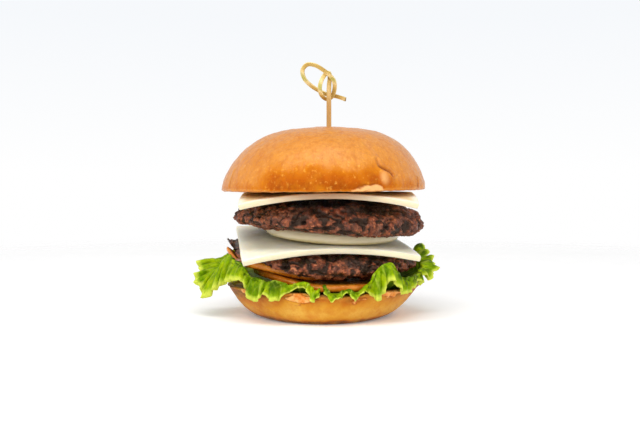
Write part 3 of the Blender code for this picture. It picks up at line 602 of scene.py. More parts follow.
def tomatoes_top(x, y):
    across, deep = x - UPPER_TOMATO_CENTRE[0], y - UPPER_TOMATO_CENTRE[1]
    rim = UPPER_TOMATO_RADIUS + tongue(np.arctan2(across, -deep), 2 * TONGUE_WIDTH)
    outside = np.hypot(across, deep) - rim - TOMATO_SHOULDER_START
    middle = upper_tomato_middle(x, y, TONGUE_START - TONGUE_ROOM)
    upper = middle - SHOULDER_SLOPE * np.maximum(0, outside)
    return np.maximum(lower_tomato_middle(x, y), upper) + TOMATO_THICKNESS / 2


# Buns

def along_path(across, height, path):
    """How far each place is from a broken line, all in millimetres."""
    nearest = np.full(across.shape, 1e9)
    for (x0, y0), (x1, y1) in zip(path, path[1:]):
        forward = (across - x0) * (x1 - x0) + (height - y0) * (y1 - y0)
        t = np.clip(forward / ((x1 - x0) ** 2 + (y1 - y0) ** 2), 0, 1)
        nearest = np.minimum(nearest, np.hypot(across - x0 - t * (x1 - x0), height - y0 - t * (y1 - y0)))
    return nearest


def top_bun(material):
    """The glazed dome, its creases and torn spots, and the toasted cut face under it."""
    count, arcs = TOP_BUN_MESH
    turn = np.linspace(0.03, 1, arcs)[:, None] ** 1.25 * np.pi / 2
    angle = turns(count)[None, :]
    radius = TOP_RADIUS * np.sin(turn) ** (2 / TOP_SIDE_ROUNDING) * np.ones_like(angle)
    height = TOP_HEIGHT * np.maximum(0, np.cos(turn)) ** (2 / TOP_CROWN_ROUNDING) * np.ones_like(angle)
    for inset, rise in TOP_UNDERSIDE:
        radius = np.vstack([radius, np.full((1, count), TOP_RADIUS - inset * EDGE_ROUND)])
        height = np.vstack([height, np.full((1, count), rise * EDGE_ROUND)])
    angle = np.broadcast_to(angle, radius.shape)
    share = np.maximum(0, height) / TOP_HEIGHT
    points = around(angle, radius, height)
    points[..., 0] += TOP_X + TOP_LEAN * share
    outward = unit(np.stack([np.sin(angle) * radius, -np.cos(angle) * radius, height * 2], -1))
    dome = (height > 0)[..., None]
    degrees = np.degrees(wrapped(angle))
    run = np.radians(degrees) * CREASE_RADIUS
    # A tear with a bulge under it, a faint crease above, two folds, and a torn flap at the rim
    creases = (TEAR, FAINT_CREASE, SIDE_CREASE, LEFT_FOLD, RIGHT_FOLD)
    tear, faint, side, left_fold, right_fold = (along_path(run, height, path) for path in creases)
    bulge = np.hypot((run - 31.6) / 3.8, (height - 6.0) / 4.2)
    taper = smooth(12.5, 21.0, run) * smooth(30.5, 27.0, run)
    torn_edge = (2.4 + 1.0 * soft_noise(points, 3.0, 91) + 0.8 * soft_noise(points, 1.2, 92)) * taper
    flap = (taper > 0.02) * smooth(0.6, -0.4, height - torn_edge)
    flap_line = smooth(0.1, 0.5, taper) * bell(height - torn_edge - 0.35, 0.5)
    push = DENT * same_rough(points, DENT_SIZE, 3.1)
    push += 0.16 * fractal(points, 5.0, 21) + 0.05 * soft_noise(points, 1.3, 4)
    push += 0.28 * fractal(points, 9.0, 33) * smooth(16, 4, height)
    push += -1.2 * bell(tear, 0.75) + 0.35 * bell(tear - 1.4, 0.7) + 0.75 * smooth(1.25, 0.3, bulge)
    push += 0.18 * bell(faint, 1.2) * smooth(24, 19, height) - 0.2 * bell(side, 0.9)
    push += -0.35 * bell(left_fold, 0.6) + 0.2 * bell(left_fold - 1.3, 0.8)
    push += -0.5 * bell(right_fold, 0.6) + 0.25 * bell(right_fold - 1.2, 0.8) + 0.40 * flap - 0.55 * flap_line
    points = points + outward * np.where(dome, push[..., None], 0)
    ragged = 0.35 * fractal(points, 2.2, 12) * bell(height, 1.2)
    points[..., 2] += ragged - 0.25 * flap
    points[..., 2] += TOP_Z + EDGE_ROUND + TOP_TILT * points[..., 0]
    patches = fractal(points * np.array((1, 1, 0.45)), 9, 8)
    # Darker low down at the front and round the rim.
    low_zone = smooth(14.5, 5.0, height + 2.6 * patches) * smooth(46, 24, np.abs(degrees))
    rim_zone = smooth(8.0, 1.0, height + 2.0 * patches) * smooth(84, 50, np.abs(degrees))
    low_zone = np.maximum(low_zone, 0.45 * rim_zone)
    browning_and_shading = 0.30 + 0.48 * low_zone + 0.16 * low_zone * smooth(6.0, 1.5, height)
    browning_and_shading += 0.09 * fractal(points, 10, 40)
    # A painted highlight high on the front; paler sides, a painted reflection of the white room; paler high
    # up.
    browning_and_shading -= 0.18 * bell(np.hypot((run - 2.0) / 19.0, (height - 17.5) / 5.5), 0.9)
    browning_and_shading -= 0.10 * smooth(48, 86, np.abs(degrees)) + 0.10 * smooth(18, 30, height)
    browning_and_shading = np.where(height <= 0, 0.62, browning_and_shading) - 0.25 * bell(height - 0.1, 0.45)
    # Darker beside the bulge, and a painted highlight along the faint crease's ridge.
    browning_and_shading += 0.25 * bell(np.hypot((run - 34.5) / 2.6, (height - 3.6) / 3.2), 0.9) - 0.2 * bell(faint, 1.2)
    torn = 0.60 * smooth(1.15, 0.3, bulge) * smooth(35.0, 30.0, run + 1.5 * patches) + 0.75 * flap
    torn = np.where(height < -0.5, 0.30, np.clip(torn, 0, 1))
    # Painted shade in the tear, the creases and the folds, a painted shadow beside the faint crease and under
    # the torn flap's edge.
    dark = 0.85 * bell(tear, 0.75) * smooth(16, 12, height) + 0.22 * bell(side, 0.8)
    dark += 0.25 * bell(left_fold, 0.7) + 0.22 * bell(along_path(run + 1.4, height, FAINT_CREASE), 0.8)
    dark += 0.6 * bell(right_fold, 0.7) + 0.55 * flap_line * smooth(-0.4, 0.3, soft_noise(points, 3.0, 93))
    dark = np.where(height < 0, 0, np.clip(dark, 0, 1))
    return ring_piece("top_bun_crust", "top_bun", points, material, np.stack([browning_and_shading, torn, dark], -1))


def rim_height(angle):
    """The rim stands up a little, except at the front, where the leaves press it down."""
    degrees = np.degrees(wrapped(angle))
    return BOTTOM_HEIGHT + RIM_LIFT * (smooth(3, 12, -degrees) + smooth(18, 32, degrees))


def base_radius(angle):
    """The flat base is an oval, deeper than it is wide."""
    oval = 1 / np.hypot(np.sin(angle) / BASE_HALF_WIDTH, np.cos(angle) / BASE_HALF_DEPTH)
    return oval - BASE_SHIFT * np.sin(angle)


def bottom_bun(material):
    """The flared base, its toasted rim, small tears under the lettuce, and a darker foot, partly a painted
    contact shadow.
    """
    count, steps = BOTTOM_BUN_MESH
    angle = turns(count)[None, :]
    ones = np.ones_like(angle)
    rim, foot = rim_height(angle), base_radius(angle)
    bed = BOTTOM_RADIUS - RIM_WIDTH
    inner = np.array([0.02, 8, 16, 24, 32, 38, 42, 45, bed])[:, None] * ones
    out = np.linspace(0.12, 1, 9)[:, None]
    lip = smooth(0, 1, out)
    lip_radius = bed + (RIM_WIDTH - CORNER_ROUND) * out * ones
    bend = np.linspace(0.1, 1, 8)[:-1, None] * np.pi / 2
    level = np.linspace(1, 0, steps)[:, None] ** 1.4
    flank_radius = foot + (BOTTOM_RADIUS - foot) * level**BOTTOM_FLARE
    flank_height = rim * level - CORNER_DROP * level**30
    corner_radius = BOTTOM_RADIUS - CORNER_ROUND * (1 - np.sin(bend)) * ones
    corner_height = rim - CORNER_DROP * (1 - np.cos(bend))
    under = np.array([0.8, 0.5, 0.25, 0.001])[:, None] * foot
    radius = np.concatenate([inner, lip_radius, corner_radius, flank_radius, under])
    z = np.concatenate([BOTTOM_HEIGHT + 0 * inner, BOTTOM_HEIGHT + (rim - BOTTOM_HEIGHT) * lip, corner_height,
                        flank_height, 0 * under])
    share = z / rim
    angle = np.broadcast_to(angle, radius.shape)
    points = around(angle, radius, z)
    points[..., 0] += BOTTOM_LEAN * share
    first = len(inner) + len(lip)
    crusted = slice(first, first + len(bend) + steps)
    flank = np.zeros(radius.shape)
    flank[crusted] = smooth(0, 0.05, share[crusted])
    degrees = np.degrees(wrapped(angle))
    from_rim = rim - z
    near_rim = bell(from_rim, 2.6) * flank
    push = DENT * same_rough(points, DENT_SIZE, 7.7) + 0.14 * fractal(points, 4.5, 61)
    push += 0.05 * soft_noise(points, 1.2, 9)
    ragged = fractal(points * FLATTER, 3.4, 77)
    peel = sum(amount * bell(degrees - at, width) * bell(from_rim - down - 1.0, 2.4 + 0.7 * ragged)
               for at, width, down, amount in PEELED)
    peel = smooth(0.30, 0.55, peel + 0.20 * ragged) * flank
    edge = bell(peel - 0.45, 0.3) * (peel > 0.02)
    push += 0.55 * peel * (0.6 + 0.6 * ragged) + 0.35 * ragged * near_rim - 0.5 * edge * flank
    points = points + around(angle, push * flank, 0.0)
    points[..., 2] += 0.30 * fractal(points, 2.6, 15) * near_rim * smooth(0, 1, from_rim)
    flanks = 0.30 * smooth(-20, -50, degrees) + 0.10 * smooth(30, 60, degrees)
    # Darker at the foot: browned crust, and a painted contact shadow where it stands on the floor.
    brown_and_shadow = 0.38 + 0.30 * bell(from_rim - 2.0, 2.5) + 0.85 * smooth(3.6, 0.5, z)
    brown_and_shadow += 0.20 * fractal(points, 10, 50)
    brown_and_shadow += flanks - 0.26 * bell(z - 6.5, 2.8)
    cut = smooth(1.0, 0.2, from_rim) * (1 - flank)
    cut[:first] = 1.0
    crumb = np.clip(0.95 * peel + cut + 0.5 * bell(from_rim, 0.7), 0, 1)
    dark = 0.8 * edge + 0.45 * near_rim * smooth(0.3, 0.8, fractal(points * FLATTER, 3.0, 71))
    return ring_piece("bottom_bun_crust", "bottom_bun", points, material, np.stack([brown_and_shadow, crumb, dark], -1))


# Patties

def patty(name, node, material, radius, centre_x, top, bottom, ceiling, floor, seed, bare=0.0):
    """Ground beef pressed by hand: packed grains with painted shade in the cracks, charred in patches.

    The right end is left bare of charring and its painted shade by that share.
    """
    count, rim_rows = PATTY_MESH
    fill = np.linspace(0.04, 0.82, 9)
    rise = np.sin(np.linspace(np.arcsin(0.86), 0, rim_rows // 2 + 1))
    rim = (1 - rise**PATTY_ROUNDING) ** (1 / PATTY_ROUNDING)
    fill = fill[fill < rim[0] - 0.01]
    fill_rise = (1 - fill**PATTY_ROUNDING) ** (1 / PATTY_ROUNDING)
    share = np.concatenate([fill, rim, rim[-2::-1], fill[::-1]])[:, None]
    level = np.concatenate([fill_rise, rise, -rise[-2::-1], -fill_rise[::-1]])[:, None]
    angle = turns(count)[None, :]
    edge = np.stack([np.sin(angle), np.cos(angle), np.zeros_like(angle)], -1)
    outline = radius * (1 + 0.018 * same_rough(edge, 0.5, seed))
    reach = outline * share
    angle, level = np.broadcast_to(angle, reach.shape), np.broadcast_to(level, reach.shape)
    flat = around(angle, reach, 0.0, (centre_x, 0.0))
    x, y = flat[..., 0], flat[..., 1]
    high, low = top(x, y), bottom(x, y)
    points = np.stack([x, y, (high + low) / 2 + level * (high - low) / 2], -1)
    outward = unit(np.stack([np.sin(angle), -np.cos(angle), level], -1))
    crag = sum(depth * same_rough(points, size, sign * seed) for (depth, size), sign in zip(CRAGS, (1, -1)))
    # The solid's lumps, then packed grains
    bend = np.stack([soft_noise(points, 4.0, seed + n) for n in (31, 32, 33)], -1)
    bend += 0.35 * np.stack([soft_noise(points, 1.3, seed + n) for n in (41, 42, 43)], -1)
    bent = points + 1.5 * bend
    coarse, coarse_tag = lumps(bent * np.array((0.9, 0.9, 1.15)), COARSE_GRAIN, int(seed) + 40)
    grain, grain_tag = lumps(bent + 0.8 * bend, FINE_GRAIN, int(seed) + 80)
    relief = 1.30 * coarse + 0.75 * grain + 0.16 * soft_noise(points, 0.8, 3) - 0.95
    relief -= 1.3 * smooth(0.45, 0.80, soft_noise(points, 2.8, 15))
    points = points + outward * (crag + relief)[..., None]
    x_now, y_now = points[..., 0], points[..., 1]
    highest, lowest = ceiling(x_now, y_now) - GAP, floor(x_now, y_now) + PATTY_GAP
    points[..., 2] = np.maximum(np.minimum(points[..., 2], highest), lowest)
    # Height, which the material paints as shade in the cracks and light on the highest grains.
    height = np.clip(0.50 + 0.42 * relief, 0, 1)
    patch = fractal(points, 12, int(seed) + 7)
    # Charring in patches, and painted shade high up where the cheese above shades the patty.
    char_and_shade = smooth(0.30, 0.95, 0.55 * patch + 0.68 * level + 0.15 * relief) * 0.9
    char_and_shade = np.clip(char_and_shade + 0.6 * smooth(0.55, 0.85, soft_noise(points, 3.0, 19) + 0.30 * level), 0, 0.95)
    char_and_shade = char_and_shade * (1 - bare * smooth(12, 26, x))
    tint = np.clip(0.55 * grain_tag + 0.45 * coarse_tag + 0.12 * soft_noise(points, 6, 27), 0, 1)
    return ring_piece(name, node, points, material, np.stack([char_and_shade, height, tint], -1))


def lower_patty(material):
    def tip(x):
        return LOWER_PATTY_TIP * np.maximum(0, -x / LOWER_PATTY_RADIUS) ** 6

    def top(x, y):
        droop = 2.2 * (np.hypot(x, y) / LOWER_PATTY_RADIUS) ** 3
        return LOWER_PATTY_TOP - 0.03 * x + 0.055 * y - droop + tip(x)

    def bottom(x, y):
        return LOWER_PATTY_BOTTOM + 0.4 * lift(x) + tip(x)

    def ceiling(x, y):
        u, v = lower_cheese_square(x, y)
        past = (np.maximum(np.abs(u), np.abs(v)) - 1) * CHEESE_HALF
        return lower_cheese_underside(x, y) + 1.6 * np.maximum(0, past - 2.2)

    return patty("lower_patty_meat", "patty_lower", material, LOWER_PATTY_RADIUS, LOWER_PATTY_X, top, bottom,
                 ceiling, tomatoes_top, 11.3, 0.8)


def upper_patty(material):
    def top(x, y):
        droop = 5.5 * (np.hypot(x - UPPER_PATTY_X, y) / UPPER_PATTY_RADIUS) ** 4
        return UPPER_PATTY_TOP - droop - 0.02 * x

    def bottom(x, y):
        return UPPER_PATTY_BOTTOM - 0.065 * x - SAG_DEPTH * smooth(0, 1, (x - SAG_START) / SAG_RUN)

    def floor(x, y):
        return np.maximum(onion_top_with_shoulder(x, y), lower_cheese_underside(x, y) + CHEESE_THICKNESS)

    return patty("upper_patty_meat", "patty_upper", material, UPPER_PATTY_RADIUS, UPPER_PATTY_X, top, bottom,
                 upper_cheese_underside, floor, 5.9)


# Cheese

def cheese_slice(name, node, material, centre_x, turn, heights, under_bun=0.0):
    """A soft square slice with cleanly cut, slightly rounded edges, draped over what is under it."""
    rim = CHEESE_RIM / CHEESE_HALF
    inside = np.linspace(0, 1 - rim, CHEESE_ROWS)
    last = 1 - rim + rim * np.array((0.25, 0.45, 0.62, 0.76, 0.87, 0.94, 0.98, 1.0))
    half_line = np.concatenate([inside, last])
    line = np.concatenate([-half_line[:0:-1], half_line])
    v, u = np.meshgrid(line, line, indexing="ij")
    pull = 1 - CHEESE_CORNER * np.abs(u * v) ** 8
    x, y = CHEESE_HALF * u * pull, CHEESE_HALF * v * pull
    flat = np.stack([x, y, np.zeros_like(x)], -1)
    x = x + 0.25 * soft_noise(flat, 9, 5) * np.abs(u) ** 4
    y = y + 0.25 * soft_noise(flat, 9, 6) * np.abs(v) ** 4
    z = cheese_underside(heights, u, v) + CHEESE_THICKNESS / 2 + 0.18 * soft_noise(flat, 11, 8)
    cosine, sine = math.cos(turn), math.sin(turn)
    middle = np.stack([centre_x + x * cosine - y * sine, x * sine + y * cosine, z], -1)
    from_middle = np.maximum(np.abs(u), np.abs(v))
    out = np.clip((from_middle - (1 - rim)) / rim, 0, 1)
    half = CHEESE_THICKNESS / 2 * np.maximum(0.04, (1 - out**3.2) ** (1 / 3.2))
    # Painted shade mid-edge under the bun, and bun-tinted painted shade on the top, a little on the lower
    # slice.
    bun_shade = under_bun * bell(u, 0.55) * smooth(0.7, 0.98, np.abs(v))
    bounce_share = 0.75 * under_bun * smooth(0.25, 0.6, np.abs(u)) if under_bun else 0.12
    bounce_shade = smooth(0.97, 0.88, from_middle) * bounce_share
    paint = np.stack([smooth(0.2, 0.8, out), bun_shade, bounce_shade], -1)
    return sheet_piece(name, node, middle, half, material, paint)


# Onion and tomato

def slice_rings(radius, thickness, middle, centre, bulge, relief, corner=None):
    """Rings of a round slice from the middle of its top over the rim to the middle of its underside."""
    count, rows = SLICE_MESH
    inside, flat_rows = np.linspace(0.02, 0.95, rows), np.ones(rows)
    bend = np.linspace(0, np.pi, 25)[1:-1]
    share = np.concatenate([inside, 0.95 + 0.05 * np.sin(bend) ** 0.8, inside[::-1]])[:, None]
    rise = np.concatenate([flat_rows, np.cos(bend), -flat_rows])[:, None]
    angle = turns(count)[None, :]
    wave = 1 + bulge * np.sin(3 * angle + 0.6) + 0.5 * bulge * np.sin(5 * angle)
    reach = radius * wave + (corner(angle) if corner else 0.0)
    flat = around(angle, reach * share, 0.0, centre)
    x, y = flat[..., 0], flat[..., 1]
    rise, away, angle = (np.broadcast_to(part, x.shape) for part in (rise, share, angle))
    z = middle(x, y) + rise * (thickness / 2 - relief(away, angle, flat) * np.abs(rise))
    return np.stack([x, y, z], -1), away, rise, angle


def onion(material):
    """A slice across an onion: rings with a groove between each and the next."""
    rings_at = np.array((0.13, 0.27, 0.40, 0.53, 0.65, 0.77, 0.885))

    def groove(away, angle):
        wobble = 0.012 * np.sin(2 * angle + 1) + 0.006 * np.sin(5 * angle)
        return sum(bell(away + wobble - at, 0.012) for at in rings_at)

    def relief(away, angle, flat):
        return 0.75 * groove(away, angle) + 0.15 * (1 + soft_noise(flat, 6, 2)) / 2

    points, away, rise, angle = slice_rings(ONION_RADIUS, ONION_THICKNESS, onion_middle, ONION_CENTRE, 0.010,
                                            relief)
    line = np.clip(groove(away, angle) * (away < 0.95), 0, 1)
    return ring_piece("onion_slice", "onion", points, material, np.stack([line, away, rise * 0.5 + 0.5], -1))


def tomato(name, node, material, radius, middle, centre, bulge, corner=None, seed=1):
    """A slice across a tomato, a little sunk where the seed jelly is."""
    def jelly(away, angle):
        return smooth(0.25, 0.4, away) * smooth(0.85, 0.75, away) * smooth(0.2, 0.7, np.sin(5 * angle + seed))

    def relief(away, angle, flat):
        return 0.45 * jelly(away, angle) + 0.12 * (1 + soft_noise(flat, 2.5, seed)) / 2

    points, away, _, angle = slice_rings(radius, TOMATO_THICKNESS, middle, centre, bulge, relief, corner)
    skin = smooth(0.955, 0.985, away)
    return ring_piece(name, node, points, material, np.stack([skin, jelly(away, angle), away], -1))


# Lettuce

def rim_distance(angle):
    """How far the lower tomato's rim is from the burger's axis at those angles."""
    towards = around(angle, 1.0, 0.0)
    offset = np.array((LOWER_TOMATO_CENTRE[0], LOWER_TOMATO_CENTRE[1], 0.0))
    along = towards @ offset
    return along + np.sqrt(LOWER_TOMATO_RADIUS**2 - offset @ offset + along**2)


def back_margin(last, side):
    """The unseen back of a margin: even frills from the last row round to the seam at the back."""
    rows, angle, crest = [], abs(last[0]) + BACK_FRILL_STEP, True
    while angle < 180 - LEAF_SEAM - BACK_FRILL_STEP / 2:
        sway = BACK_SWAY * math.sin(angle * 0.37 + side)
        reach, height, bend = BACK_CREST if crest else BACK_TROUGH
        rows.append((side * angle, reach + sway, height + sway, bend))
        angle, crest = angle + BACK_FRILL_STEP, not crest
    rows.append((side * (180 - LEAF_SEAM), 54.0, 16.0, 20.0))
    return rows


def spline(rows, t):
    """A Catmull-Rom curve through the rows, at places t from 0 to the number of rows less one."""
    rows = np.array(rows, float)
    index = np.minimum(t.astype(int), len(rows) - 2)
    local = (t - index)[:, None]
    a, b, c, d = (rows[np.clip(index + k, 0, len(rows) - 1)] for k in (-1, 0, 1, 2))
    return 0.5 * (2 * b + (c - a) * local + (2 * a - 5 * b + 4 * c - d) * local**2
                  + (3 * b - a - 3 * c + d) * local**3)


def leaf(name, node, material, margin, side, seed):
    """A frilly leaf: flat under the tomato, then ruffles that rise and hang over the bun's rim."""
    rows_in = np.array(list(margin) + back_margin(margin[-1], side))
    t = np.linspace(0, len(rows_in) - 1, LEAF_COLUMNS)
    edge = spline(rows_in, t)
    padded = np.vstack([rows_in[:1], rows_in, rows_in[-1:]])
    calm = (padded[:-2] + 2 * padded[1:-1] + padded[2:]) / 4
    calm[0], calm[-1] = rows_in[0], rows_in[-1]
    root_angle = np.radians(spline(calm, t)[:, 0])
    tip = around(np.radians(edge[:, 0]), edge[:, 1], edge[:, 2])
    root_radius = rim_distance(root_angle) - ROOT_INSET
    root = around(root_angle, root_radius, BED_Z)
    hanging = np.clip((20.0 - edge[:, 2]) / 5.0, 0, 1)
    knee_angle = (root_angle + np.radians(edge[:, 0])) / 2
    knee = around(knee_angle, KNEE_RADIUS + KNEE_REACH * hanging, 2 * edge[:, 3] - 18)
    rows, along = [], []
    for k in range(LEAF_BED_ROWS):
        radius = INNER_RADIUS + (root_radius - INNER_RADIUS) * k / LEAF_BED_ROWS
        rows.append(around(root_angle, radius, BED_Z))
        along.append(0.0)
    for v in np.linspace(0, 1, LEAF_FRILL_ROWS):
        point = root * (1 - v) ** 2 + knee * 2 * v * (1 - v) + tip * v**2
        climb = np.clip((point[:, 2] - BED_Z) / LEAF_CLIMB, 0, 1)
        clear = root_radius + (LEAF_CLEAR_RADIUS - root_radius) * climb
        point[:, :2] *= np.maximum(1.0, clear / np.hypot(point[:, 0], point[:, 1]))[:, None]
        rows.append(point)
        along.append(v)
    middle = np.stack(rows)
    v = np.array(along)[:, None] * np.ones((1, LEAF_COLUMNS))
    step = np.linalg.norm(np.diff(tip, axis=0, prepend=tip[:1]), axis=-1)
    run = np.broadcast_to(np.cumsum(step), v.shape)
    normal = unit(np.cross(np.gradient(middle, axis=1), np.gradient(middle, axis=0)))
    place = np.stack([run, v * 22, np.full_like(v, seed)], -1)
    wobble = soft_noise(place, 9, seed)
    ruffle = 1.3 * np.sin(run / 6.4 * 2 * np.pi + 2.2 * wobble) * v**3
    ruffle += 0.55 * np.sin(run / 2.9 * 2 * np.pi + 3 * wobble + 1.3) * v**5
    ruffle += 1.2 * fractal(place, 5, seed + 3) * smooth(0.12, 0.4, v) * smooth(1.1, 0.7, v)
    middle = middle + normal * ruffle[..., None]
    teeth = 0.5 * np.abs(np.sin(run / 3.6 * np.pi + wobble)) - 0.3
    middle = middle + unit(np.gradient(middle, axis=0)) * (teeth * smooth(0.8, 1.0, v))[..., None]
    half = np.full(v.shape, LEAF_THICKNESS / 2) * (1 - 0.45 * smooth(0.85, 1.0, v))
    ribs = np.abs(np.remainder(run / 9.5 + 0.5 * soft_noise(place, 15, seed + 9), 1) - 0.5)
    side_ribs = np.abs(np.remainder(v * 4.5 + np.abs(np.remainder(run / 9.5, 1) - 0.5) * 2.4, 1) - 0.5)
    vein = 0.6 * bell(ribs, 0.035 + 0.03 * (1 - v)) * smooth(1.0, 0.75, v)
    vein += 0.25 * bell(side_ribs, 0.06) * smooth(0.2, 0.5, v)
    # Painted shade in the troughs of the ruffles, and a darker band just inside the margin.
    fold_shade = 0.75 * smooth(0.1, 1.1, -ruffle) * smooth(0.15, 0.4, v) * smooth(0.95, 0.8, v)
    fold_shade = np.clip(fold_shade + 0.25 * bell(v - 0.84, 0.07), 0, 1)
    # The curled lobe at the front left, and folds on either side, get painted shade inside.
    curl = bell(edge[:, 0] + 26.5, 5.0) * np.ones_like(v)
    inside = bell(edge[:, 0] + 54.0, 7.0) * bell(v - 0.34, 0.18)
    inside = inside + bell(edge[:, 0] - 50.0, 5.0) * bell(v - 0.4, 0.2)
    fold_shade = np.clip(np.maximum(fold_shade, 0.95 * curl * bell(v - 0.70, 0.20) + 0.75 * inside), 0, 1)
    vein = np.maximum(vein, 0.9 * curl * bell(v - 0.42, 0.035))
    # Round the left side, past about 60 degrees, the root is not given its painted shade.
    root_shade_lifted = 0.55 * smooth(-58, -66, edge[:, 0]) * np.ones_like(v)
    paint = np.stack([np.maximum(v, root_shade_lifted), np.clip(vein, 0, 1), fold_shade], -1)
    return sheet_piece(name, node, middle, half, material, paint)


# Pick

def pick_route():
    """Points along the pick, from its tip in the lower patty up to the knot and its tail."""
    x, top = PICK_X, PICK_TOP_Z
    shaft = [(x, 0.0, top - PICK_LENGTH + 25 * k) for k in range(4)] + [(x, 0.0, top - 9.0)]
    knot = (
        (0.4, -0.2, -3.4), (0.1, -1.2, -0.6), (-1.6, -2.2, -0.9), (-3.9, -2.4, -4.4), (-4.9, -1.4, -8.6),
        (-3.8, 0.8, -12.4), (-1.0, 3.6, -14.2), (1.9, 3.2, -12.4), (3.1, 1.0, -8.4), (2.6, -1.8, -4.6),
        (0.2, -3.4, -1.9), (-3.2, -3.6, 0.9), (-7.4, -2.6, 3.4), (-11.6, -0.8, 4.0), (-14.2, 1.2, 1.2),
        (-13.2, 3.0, -3.2), (-9.6, 4.4, -6.8), (-5.4, 5.2, -9.4), (-0.6, 5.6, -11.6), (4.2, 4.6, -12.6),
        (9.2, 3.0, -14.4),
    )
    return shaft + [(x + dx, dy, top + dz) for dx, dy, dz in knot]


def pick(material):
    """The bamboo pick: a square shaft whose shaved top is a flat strip tied in a knot."""
    route = np.array(pick_route())
    t = np.linspace(0, len(route) - 1, PICK_FINER * (len(route) - 1) + 1)
    path = spline(route, t)
    along = unit(np.gradient(path, axis=0))
    turn = turns(PICK_SIDES) + np.pi / PICK_SIDES
    square = [np.sign(wave) * np.abs(wave) ** PICK_CORNERS for wave in (np.cos(turn), np.sin(turn))]
    rings, paint = [], []
    for place, forward, at in zip(path, along, t):
        shaved = min(1.0, max(0.0, (at - STRIP_START) / 1.4))
        facing = np.array((0.0, 1.0, 0.0)) * (1 - shaved) + STRIP_FACING * shaved
        across = np.cross(facing, forward)
        across /= np.linalg.norm(across)
        thick = np.cross(forward, across)
        taper = min(1.0, 0.25 + at * 0.9)
        half = [taper * (a + (b - a) * shaved) for a, b in zip(PICK_HALF, STRIP_HALF)]
        rings.append(place + np.outer(square[0] * half[0], across) + np.outer(square[1] * half[1], thick))
        fibre = 0.55 + 0.30 * np.sin(turn + 1.1 * at) + 0.15 * math.sin(2.3 * at)
        end = max(bell(at - 5.2, 0.25) * 0.7, smooth(len(route) - 1.2, len(route) - 1.0, at) * 0.7)
        paint.append(np.stack([np.full(PICK_SIDES, shaved), np.full(PICK_SIDES, end), fibre], -1))
    return ring_piece("bamboo_pick", "pick", np.array(rings), material, np.array(paint))


# Studio

def white_floor():
    """A floor that melts into the white room some way from the burger."""
    mesh = bpy.data.meshes.new("floor")
    places = (-1.5, -0.75, 0.0, 0.75, 1.5)
    points = [(x, y, 0.0) for y in places for x in places]
    faces = [(r * 5 + c, r * 5 + c + 1, r * 5 + c + 6, r * 5 + c + 5) for r in range(4) for c in range(4)]
    mesh.from_pydata(points, [], faces)
    floor = bpy.data.objects.new("floor", mesh)
    bpy.context.scene.collection.objects.link(floor)
    p = Paint("white_floor", Roughness=0.6, Specular_IOR_Level=0.25, Emission_Color=(1.0, 1.0, 1.0, 1),
              Emission_Strength=FLOOR_GLOW)
    p.set("Base Color", p.ramp(p.noise(120, 2), (0.3, tone(249, 249, 249)), (0.7, tone(253, 252, 252))))
    distance = p.tree.nodes.new("ShaderNodeVectorMath")
    distance.operation = "LENGTH"
    p.link(p.place, distance.inputs[0])
    clear = p.tree.nodes.new("ShaderNodeBsdfTransparent")
    p.blend_with(clear, p.ramp(distance.outputs["Value"], (0.30, 0.0), (0.62, 1.0)))
    mesh.materials.append(p.material)


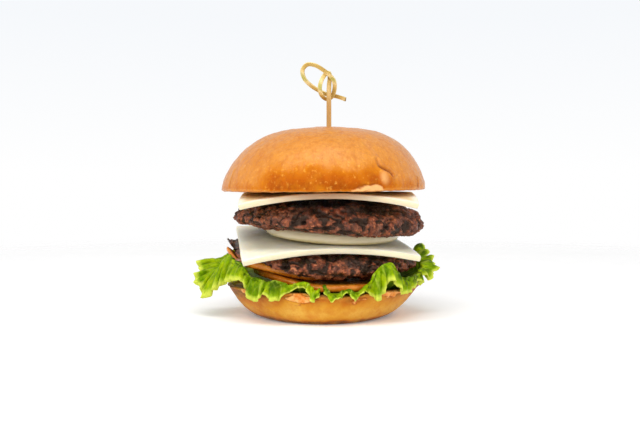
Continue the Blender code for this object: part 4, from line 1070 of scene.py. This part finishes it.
def white_room():
    """A room that lights the burger a little less from high up, and looks white, and bluer higher up."""
    world = bpy.data.worlds.new("white_room")
    bpy.context.scene.world = world
    world.use_nodes = True
    tree = world.node_tree
    glow = tree.nodes["Background"]
    glow.inputs["Strength"].default_value = WORLD_LIGHT
    seen = tree.nodes.new("ShaderNodeBackground")
    coordinate = tree.nodes.new("ShaderNodeTexCoord")
    split = tree.nodes.new("ShaderNodeSeparateXYZ")
    tree.links.new(coordinate.outputs["Generated"], split.inputs["Vector"])
    sky = colour_ramp(tree, split.outputs["Z"], (0.0, 1.0), (0.15, (0.925, 0.945, 0.972, 1)))
    tree.links.new(sky, seen.inputs["Color"])
    tree.links.new(colour_ramp(tree, split.outputs["Z"], (0.10, 1.0), (0.9, 0.5)), glow.inputs["Color"])
    path = tree.nodes.new("ShaderNodeLightPath")
    either = tree.nodes.new("ShaderNodeMixShader")
    tree.links.new(path.outputs["Is Camera Ray"], either.inputs["Fac"])
    tree.links.new(glow.outputs["Background"], either.inputs[1])
    tree.links.new(seen.outputs["Background"], either.inputs[2])
    tree.links.new(either.outputs["Shader"], tree.nodes["World Output"].inputs["Surface"])


def lamps():
    for name, place, size, power in LAMPS:
        light = bpy.data.lights.new(name, "AREA")
        light.shape = "RECTANGLE"
        light.size, light.size_y = size
        light.energy = power
        lamp = bpy.data.objects.new(name, light)
        lamp.location = place
        lamp.rotation_euler = (Vector(LAMP_TARGET) - Vector(place)).to_track_quat("-Z", "Y").to_euler()
        bpy.context.scene.collection.objects.link(lamp)


def photo_camera():
    lens = bpy.data.cameras.new("photo_camera")
    lens.lens, lens.sensor_width = CAMERA_LENS, CAMERA_SENSOR
    lens.clip_start, lens.clip_end = 0.01, 50
    camera = bpy.data.objects.new("photo_camera", lens)
    camera.location = CAMERA_PLACE
    camera.rotation_euler = (math.radians(90 - CAMERA_DOWN), 0, 0)
    bpy.context.scene.collection.objects.link(camera)
    bpy.context.scene.camera = camera
    bpy.context.scene.view_settings.view_transform = "Standard"


meat, cheese_skin, green, tomato_flesh = meat_paint(), cheese_paint(), lettuce_paint(), tomato_paint()
bottom_bun(base_crust_paint())
leaf("lettuce_left_leaf", "lettuce_left", green, LEFT_MARGIN, -1, 3)
leaf("lettuce_right_leaf", "lettuce_right", green, RIGHT_MARGIN, 1, 8)
tomato("tomato_lower_slice", "tomato_lower", tomato_flesh, LOWER_TOMATO_RADIUS, lower_tomato_middle,
       LOWER_TOMATO_CENTRE, 0.006)
tomato("tomato_upper_slice", "tomato_upper", tomato_flesh, UPPER_TOMATO_RADIUS, upper_tomato_middle,
       UPPER_TOMATO_CENTRE, 0.008, tongue, 2)
lower_patty(meat)
cheese_slice("cheese_lower_slice", "cheese_lower", cheese_skin, LOWER_CHEESE_X, LOWER_CHEESE_TURN,
             LOWER_CHEESE_HEIGHTS)
onion(onion_paint())
upper_patty(meat)
cheese_slice("cheese_upper_slice", "cheese_upper", cheese_skin, UPPER_CHEESE_X, 0.0, UPPER_CHEESE_HEIGHTS, 0.8)
top_bun(crust_paint())
pick(bamboo_paint())
white_floor()
white_room()
lamps()
photo_camera()
